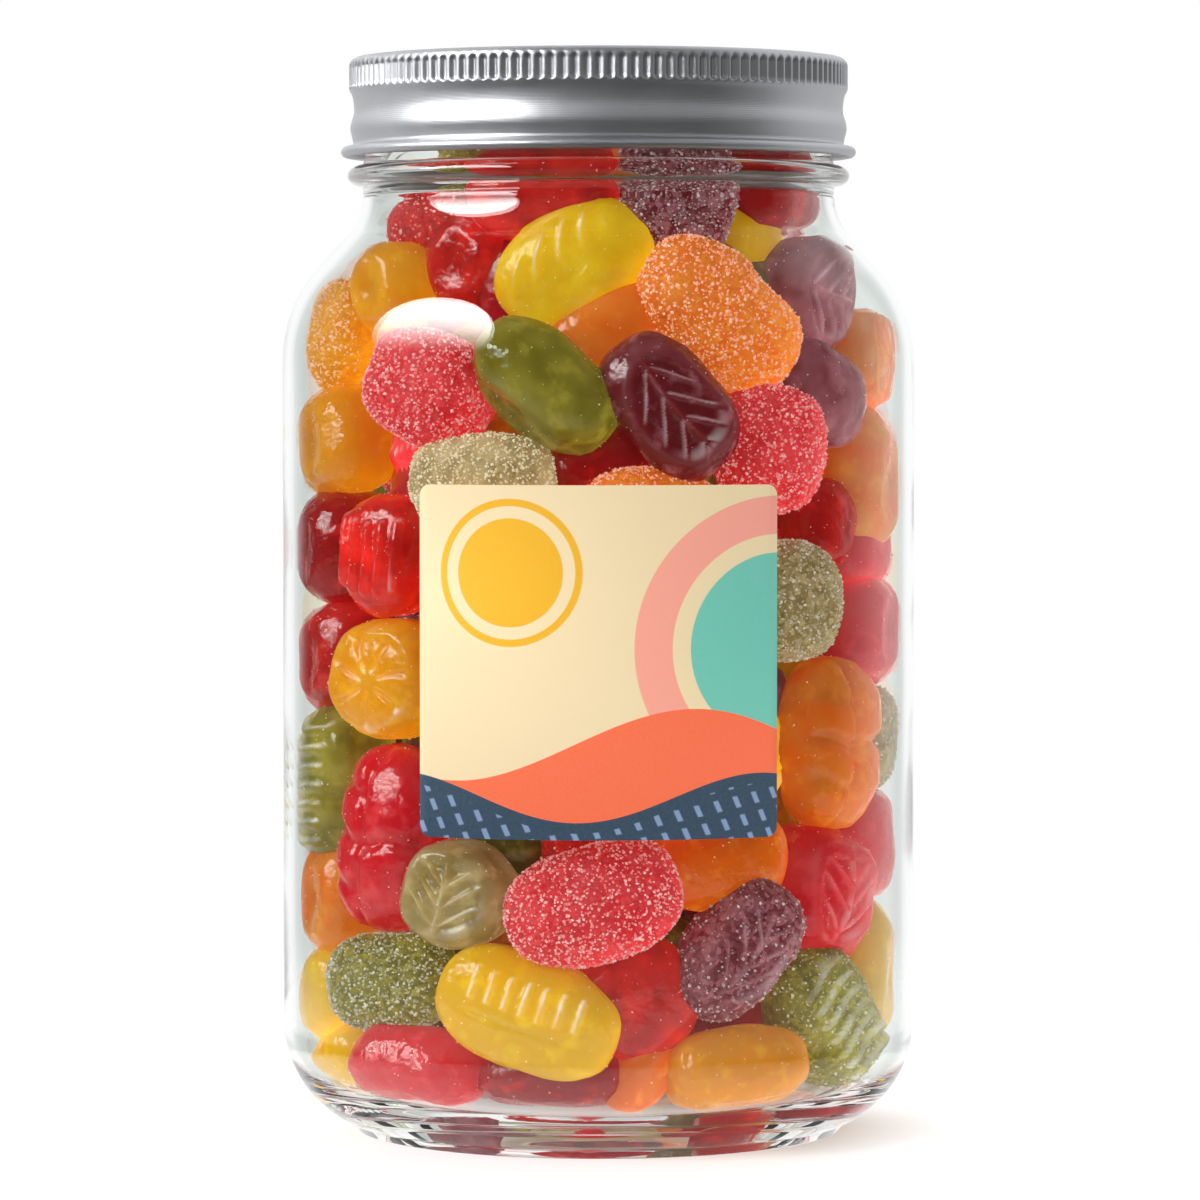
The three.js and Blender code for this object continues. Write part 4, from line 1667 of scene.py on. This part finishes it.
@dataclass
class Filling:
    """The gummies that fill the jar, over a core of deeper ones."""

    jar: Jar
    skin: Skin = Skin()
    sugar: Sugar = Sugar()
    seed: int = 11
    choice_seed: int = 17
    glass_gap: float = 0.3
    squeeze: float = 0.82
    nudge: float = 0.5
    neighbour: float = 50.0
    touch_around: int = 16
    touch_along: int = 8
    row_first: float = 14.0
    row_step: float = 15.5
    rows: int = 9
    row_count: int = 13
    row_sway: Pair = (5.0, 2.5)
    roll: float = 40.0
    small: float = 0.72
    least_radius: float = 27.0
    # Count, radius and height of the rings on the floor and on top
    floor_ring: tuple[int, float, float] = (5, 19.0, 12.9)
    top_ring: tuple[int, float, float] = (4, 17.0, 152.0)
    ring_sway: Pair = (8.0, 10.0)
    # Count and distance in from the glass of the rings behind
    deep_rings: tuple[tuple[int, float], ...] = ((8, 21.0), (5, 30.0))
    deep_low: float = 10.0
    deep_step: float = 12.5
    deep_sway: Pair = (8.0, 3.0)
    # Painted shade: deep sweets darker, and front sweets darker low down and towards the right
    deep_shade: float = 0.45
    low_shade: float = 0.16
    low_turn: Pair = (15.0, 110.0)
    right_shade: float = 0.2
    right_turn: Pair = (40.0, 85.0)
    core_radius: float = 17.0
    core_end: float = 4.0
    # Dark colour of the core, painted shade for the inside of the heap
    core_shade_tint: str = "#3A0A08"
    core_sides: int = 72
    core_rows: int = 40
    bend_steps: int = 4
    # Height of the core's lumps, how many there are round it, and their turns for each row
    lumps: tuple[float, int, float, float] = (2.5, 5, 0.9, 0.75)

    def lean_on_glass(self, sweet: Sweet) -> None:
        """Moves a sweet in from the glass until it clears the wall.

        Args:
            sweet: The one to move.
        """
        ways = around_and_along(self.touch_around, self.touch_along)
        local = sweet.spread(ways) @ sweet.axes
        sweet.radius = self.jar.inner
        while sweet.radius > 0:
            points = local + sweet.centre
            free = self.jar.inside(points[:, 2]) - self.glass_gap
            if (np.hypot(points[:, 0], points[:, 1]) <= free).all():
                break
            sweet.radius -= self.nudge
        sweet.radius -= sweet.back
        sweet.touch = local + sweet.centre

    def nestle(self, sweet: Sweet, placed: list[Sweet]) -> bool:
        """Moves a sweet on until it clears the ones before it, which it joins, or drops it.

        Args:
            sweet: The one to place.
            placed: Those already in place.

        Returns:
            Whether it has found a place.
        """
        sweet.radius = self.jar.inner
        near = [o for o in placed if np.linalg.norm(o.centre - sweet.centre) < self.neighbour]
        self.lean_on_glass(sweet)
        while sweet.radius >= self.least_radius:
            if not any(
                other.holds(sweet.touch, self.squeeze) or sweet.holds(other.touch, self.squeeze)
                for other in near
            ):
                placed.append(sweet)
                return True
            sweet.radius -= self.nudge
            sweet.touch = sweet.touch - sweet.out * self.nudge
        return False

    def stand_in_front(self, sweet: Sweet) -> None:
        """Turns a sweet of the front to the viewer and darkens it with painted shade, lower down and
        further right.

        Args:
            sweet: The one to turn.
        """
        plain = sweet.relief in (PLAIN, DIMPLE)
        sweet.fineness = Fineness.MEDIUM if plain else Fineness.FINE
        sweet.facing = FRONT_FACING * sweet.bearing
        low = fade(*self.low_turn, np.array(sweet.height))
        right = ease(*self.right_turn, np.array(sweet.bearing))
        sweet.shade = float((1 - self.low_shade * low) * (1 - self.right_shade * right))
        self.lean_on_glass(sweet)

    @staticmethod
    def staggered(row: int, i: int, count: int) -> float:
        """The bearing of one place of a ring, half a step on in every other row."""
        return (i + row % 2 / 2) * 360 / count

    def place(self) -> list[Sweet]:
        """Places the front as listed, the wall by rows, floor and top by rings, then the deep.

        Returns:
            Every sweet.
        """
        draws = Draws(self.seed)
        choice = Draws(self.choice_seed)
        numbers = itertools.count()
        placed: list[Sweet] = []
        for sweet in FRONT_SWEETS:
            sweet.number = next(numbers)
            self.stand_in_front(sweet)
            placed.append(sweet)
        for row, i in itertools.product(range(self.rows), range(self.row_count)):
            bearing = self.staggered(row, i, self.row_count) + draws.spread(self.row_sway[0])
            height = self.row_first + row * self.row_step + draws.spread(self.row_sway[1])
            turn = 180 * draws.next()
            roll = draws.spread(self.roll)
            sweet = Sweet(bearing, height, 0, turn, roll, draws.pick(list(Mould)))
            self.season(sweet, choice, next(numbers))
            if not self.nestle(sweet, placed):
                sweet.size = self.small
                self.nestle(sweet, placed)
        for count, radius, height in (self.floor_ring, self.top_ring):
            for i in range(count):
                bearing = self.staggered(0, i, count) + draws.spread(self.ring_sway[0])
                sweet = Sweet(bearing, height, 0, draws.spread(self.ring_sway[1]), -90, OVAL)
                sweet.radius = radius
                self.season(sweet, choice, next(numbers))
                placed.append(sweet)
        return placed + self.deep(choice, numbers)

    def deep(self, choice: Draws, numbers: Iterator[int]) -> list[Sweet]:
        """Sweets behind the ones at the glass, darkened with painted shade, which show through the gaps.

        Args:
            choice: Where the choices come from.
            numbers: The numbers that are left.

        Returns:
            The deep sweets.
        """
        made = []
        low = self.jar.floor + self.deep_low
        rows = int((self.jar.neck_bottom - low) / self.deep_step) + 1
        for row, (count, radius) in itertools.product(range(rows), self.deep_rings):
            for i in range(count):
                bearing = self.staggered(row, i, count) + choice.spread(self.deep_sway[0])
                height = low + row * self.deep_step + choice.spread(self.deep_sway[1])
                turn = 180 * choice.next()
                sweet = Sweet(bearing, height, 0, turn, choice.spread(self.roll), OVAL)
                sweet.radius = max(self.jar.inside(np.array([height]))[0] - radius, 0)
                self.season(sweet, choice, next(numbers))
                sweet.fineness = Fineness.COARSE
                sweet.coat = GLOSSY
                # Painted shade for the sweets deep in the heap
                sweet.shade = self.deep_shade
                made.append(sweet)
        return made

    @staticmethod
    def season(sweet: Sweet, choice: Draws, number: int) -> None:
        """Numbers a sweet, turns it outwards and chooses its flavour, coat, relief and tone.

        Args:
            sweet: The one to season.
            choice: Where the choices come from.
            number: Its number.
        """
        sweet.number = number
        sweet.facing = sweet.bearing
        sweet.flavour = choice.pick([RED, ORANGE, LEMON, PINK, GREEN, AMBER, RED, PURPLE, PINK, OLIVE])
        sweet.coat = choice.pick([GLOSSY, SUGARED, GLOSSY, DUSTED, GLOSSY])
        sweet.relief = choice.pick(list(Relief))
        sweet.tone = choice.next()
        if sweet.coat is not GLOSSY:
            sweet.relief = PLAIN

    def build(self) -> None:
        """Makes the sweets, their sugar and the core, each kind as one piece."""
        grids = {fineness: box_grid(*fineness.value) for fineness in Fineness}
        kinds: dict[tuple[Flavour, bool], list[Part]] = defaultdict(list)
        grains: dict[Flavour, list[Part]] = defaultdict(list)
        for sweet in self.place():
            ways, quads = grids[sweet.fineness]
            local, tints = self.skin.carve(sweet, ways)
            points = local @ sweet.axes + sweet.centre
            coated = sweet.coat is not GLOSSY
            kinds[sweet.flavour, coated].append((points, quads, tints))
            if coated or sweet.fineness in (Fineness.FINE, Fineness.MEDIUM):
                grains[sweet.flavour].append(self.sugar.grains(sweet, points, quads))
        for (flavour, coated), parts in kinds.items():
            name = f"{flavour.name.lower()}_{'sugared' if coated else 'glossy'}"
            finish = JellyFinish(flavour.value, name, coated).material()
            self.join(name, parts, finish, flavour.value.slot, ["gummies"])
        grain_finish = SugarFinish().material()
        for flavour, parts in grains.items():
            self.join(f"sugar_on_{flavour.name.lower()}", parts, grain_finish, "sugar")
        self.build_core()

    def build_core(self) -> bpy.types.Object:
        """Makes the heart of the heap, which closes the last gaps, dark with painted shade.

        Returns:
            The core.
        """
        low, high = self.jar.floor + self.core_end, self.jar.neck_bottom + self.core_end
        wide = self.core_radius
        bend = wide / 3
        outline = [
            (0, low),
            *flowing([(wide - bend, low), (wide, low + bend)], self.bend_steps),
            *[(wide, z) for z in np.linspace(low + 2 * bend, high - 2 * bend, self.core_rows)],
            *flowing([(wide, high - bend), (wide - bend, high)], self.bend_steps),
            (0, high),
        ]
        rise, around, lean, along = self.lumps

        def swell(angle: Array, row: Array) -> Array:
            """Swellings as large as the sweets round it."""
            return rise * np.sin(around * angle + row * lean) * np.sin(row * along)

        points, faces = turned(outline, self.core_sides, swell)
        tints = np.tile(np.array(colour(self.core_shade_tint)), (len(points), 1))
        finish = JellyFinish(RED.value, "heart", False).material()
        return make_piece("heap_core", points, faces, finish, ["gummies"], tints)

    @staticmethod
    def join(
        name: str,
        parts: Sequence[Part],
        material: bpy.types.Material,
        slot: str,
        replaces: Sequence[str] = (),
    ) -> bpy.types.Object:
        """Writes several meshes as one piece.

        Args:
            name: The piece's name.
            parts: Corners, faces and tints of each mesh.
            material: The finish that they share.
            slot: Not used.
            replaces: The solids that the piece stands for.

        Returns:
            The piece.
        """
        starts = np.cumsum([0, *[len(points) for points, _, _ in parts[:-1]]])
        points = np.concatenate([part[0] for part in parts])
        faces = np.concatenate([part[1] + start for part, start in zip(parts, starts)])
        tints = np.concatenate([part[2] for part in parts])
        return make_piece(name, points, [faces], material, replaces, tints)


@dataclass(frozen=True)
class Lamp:
    """A soft lamp: where it stands, how large it is and how strong, in metres and watts."""

    name: str
    spot: Spot
    size: Pair
    power: float


@dataclass
class Studio:
    """The white floor, the lamps and the camera of the photograph."""

    lamps: tuple[Lamp, ...] = (
        Lamp("key", (-0.78, -0.36, 0.52), (0.85, 0.6), 6.0),
        Lamp("front_fill", (0.3, -1.0, 0.45), (0.6, 0.5), 3.0),
        Lamp("back_light", (0.3, 0.8, 0.7), (0.7, 0.5), 5.0),
    )
    window_spot: Spot = (-0.792, -0.366, 0.405)
    window_size: Pair = (0.82, 0.8)
    window_glow: float = 16.0
    window_turn: Pair = (0.0, 0.5)
    window_fall: float = 1.5
    window_sides: int = 64
    aim: Spot = (0.0, 0.0, 0.11)
    sky_front: float = 0.14
    sky_back: float = 0.8
    sky_turn: Pair = (0.0, 0.6)
    band_low: Pair = (0.2, 0.24)
    band_high: Pair = (0.8, 0.3)
    band_level: float = 0.3
    mirror_dark: float = 0.04
    mirror_through: float = 0.6
    mirror_once: Pair = (0.5, 0.2)
    mirror_back: Pair = (0.8, 0.2)
    mirror_right: Pair = (0.5, 0.4)
    mirror_right_back: Pair = (0.3, 0.4)
    mirror_right_level: float = 0.55
    ground_turn: Pair = (-0.3, 0.2)
    ground_level: float = 0.35
    floor_tones: tuple[str, str] = ("#A4A4A3", "#A8A8A7")
    floor_cloud: float = 300.0
    floor_roughness: float = 0.9
    floor_drop: float = 0.2
    floor_glow: float = 0.72
    floor_near: float = 0.1
    floor_far: float = 0.3
    # Painted shadow on the floor: its middle, turn, depth and tint
    shadow_spot: Spot = (0.012, 0.004, 0.0)
    shadow_turn: Pair = (0.034, 0.018)
    shadow_depth: float = 0.8
    shadow_tint: str = "#8C867C"
    camera_distance: float = 0.92
    camera_height: float = 0.1205
    camera_aim: float = 0.084
    camera_right: float = 0.00024
    lens: float = 174.0
    sensor: float = 36.0
    sight: float = 20.0
    diffuse_bounces: int = 2
    glass_bounces: int = 32

    def build(self) -> None:
        """Makes everything round the jar."""
        self.make_floor()
        self.make_world()
        self.make_camera()
        self.make_window()
        for lamp in self.lamps:
            self.make_lamp(lamp)
        scene = bpy.context.scene
        scene.view_settings.view_transform = "Standard"
        scene.cycles.diffuse_bounces = self.diffuse_bounces
        scene.cycles.glossy_bounces = self.glass_bounces
        scene.cycles.transmission_bounces = self.glass_bounces
        scene.cycles.max_bounces = self.glass_bounces

    def make_floor(self) -> None:
        """A plain white floor with a painted shadow by the jar's foot, which runs out into the white
        behind it.
        """
        material, dress = Dress.of_material("floor")
        cloud = dress.noise(self.floor_cloud, detail=1.0)
        far, near = (
            dress.signal(
                "ShaderNodeVectorMath", {"operation": "DISTANCE"}, {0: dress.place(), 1: spot}, "Value"
            )
            for spot in ((0.0, 0.0, 0.0), self.shadow_spot)
        )
        # Painted shadow: the floor's glow darkens round a spot a little right of the jar's middle
        shadow = near.below(*self.shadow_turn) * self.shadow_depth
        middle = (self.floor_near + self.floor_far) / 2
        dress.surface(
            {
                "Base Color": dress.mix(cloud, *[colour(tone) for tone in self.floor_tones]),
                "Roughness": self.floor_roughness,
                "Emission Color": dress.mix(shadow, WHITE, colour(self.shadow_tint)),
                "Emission Strength": self.floor_glow,
                "Alpha": far.below(middle, self.floor_far - self.floor_near),
            }
        )
        half = self.floor_far
        corners = [(-half, -half, 0), (half, -half, 0), (half, half, 0), (-half, half, 0)]
        floor = self.make_sheet("floor", corners, material)
        floor.location.z = -self.floor_drop * MM
        floor.visible_glossy = False

    @staticmethod
    def make_sheet(name: str, rim: Sequence[Spot], material: bpy.types.Material) -> bpy.types.Object:
        """A flat sheet of one face inside its rim.

        Args:
            name: The sheet's name.
            rim: Its corners in order, in metres.
            material: Its finish.

        Returns:
            The sheet.
        """
        mesh = bpy.data.meshes.new(name)
        mesh.from_pydata(rim, [], [tuple(range(len(rim)))])
        mesh.materials.append(material)
        return show(name, mesh)

    def make_world(self) -> None:
        """Soft light for the jar's pieces, and a white back and a bright right side for the glass."""
        world = bpy.data.worlds.new("studio")
        world.use_nodes = True
        bpy.context.scene.world = world
        dress = Dress(world.node_tree)
        path = dress.node("ShaderNodeLightPath").outputs
        rays = ("Camera", "Glossy", "Singular", "Transmission")
        camera, glossy, singular, passing = (Signal(dress, path[f"Is {ray} Ray"]) for ray in rays)
        mirrored = Signal(dress, path["Glossy Depth"])
        x, y, z = dress.xyz("Generated")
        soft = y.above(*self.sky_turn) * (self.sky_back - self.sky_front) + self.sky_front
        band = z.above(*self.band_low) * z.below(*self.band_high) * self.band_level
        soft = soft + band * glossy
        right = x.above(*self.mirror_right) * y.above(*self.mirror_right_back)
        ground = z.below(*self.ground_turn) * self.ground_level
        # What shines through the glass, unless it was mirrored just once on the way
        through = passing * abs(mirrored - 1).above(*self.mirror_once) * self.mirror_through
        white = (right * self.mirror_right_level).most(y.above(*self.mirror_back))
        sharp = white.most(ground).most(through) * (1 - self.mirror_dark) + self.mirror_dark
        strength = (soft + singular * (sharp - soft)).most(camera)
        light = dress.node("ShaderNodeBackground", None, {"Color": WHITE, "Strength": strength})
        dress.node("ShaderNodeOutputWorld", None, {"Surface": light.outputs[0]})

    @staticmethod
    def looking(spot: Spot, aim: Spot) -> Euler:
        """The turn of a lamp or a camera at a spot that looks at its aim."""
        return (Vector(aim) - Vector(spot)).to_track_quat("-Z", "Y").to_euler()

    def make_lamp(self, lamp: Lamp) -> None:
        """One soft lamp that looks at the jar.

        Args:
            lamp: Its place, size and power.
        """
        data = bpy.data.lights.new(lamp.name, "AREA")
        data.shape = "ELLIPSE"
        data.size, data.size_y = lamp.size
        data.energy = lamp.power
        made = show(lamp.name, data)
        made.location = lamp.spot
        made.rotation_euler = self.looking(lamp.spot, self.aim)
        made.visible_glossy = False
        made.visible_transmission = False

    def make_window(self) -> None:
        """An oval of light that only shines back from what is glossy, weaker to its foot."""
        material, dress = Dress.of_material("window")
        material.cycles.emission_sampling = "FRONT"
        _, height, _ = dress.xyz()
        shine = (height / self.window_size[1]).above(*self.window_turn) ** self.window_fall
        dress.surface(
            {
                "Base Color": BLACK,
                "Specular IOR Level": 0.0,
                "Emission Color": dress.mix(shine, BLACK, WHITE),
                "Emission Strength": self.window_glow,
            }
        )
        angles = np.arange(self.window_sides) * math.tau / self.window_sides
        rim = np.stack([np.cos(angles), np.sin(angles)], -1) * np.array(self.window_size) / 2
        window = self.make_sheet("window", [(x, y, 0.0) for x, y in rim], material)
        window.location = self.window_spot
        window.rotation_euler = self.looking(self.window_spot, self.aim)
        window.visible_camera = False
        window.visible_diffuse = False
        window.visible_shadow = False

    def make_camera(self) -> None:
        """The photograph's viewpoint."""
        data = bpy.data.cameras.new("camera")
        data.lens = self.lens
        data.sensor_width = self.sensor
        data.clip_end = self.sight
        spot = (self.camera_right, -self.camera_distance, self.camera_height)
        made = show("camera", data)
        made.location = spot
        made.rotation_euler = self.looking(spot, (self.camera_right, 0.0, self.camera_aim))
        bpy.context.scene.camera = made


def main() -> None:
    """Builds the jar, its lid, label and sweets, and the studio round them."""
    logging.basicConfig(level=logging.INFO, format="%(name)s %(message)s")
    jar = Jar()
    jar.build()
    Lid().build()
    Label().build(jar)
    Filling(jar).build()
    Studio().build()


if __name__ == "__main__":
    main()
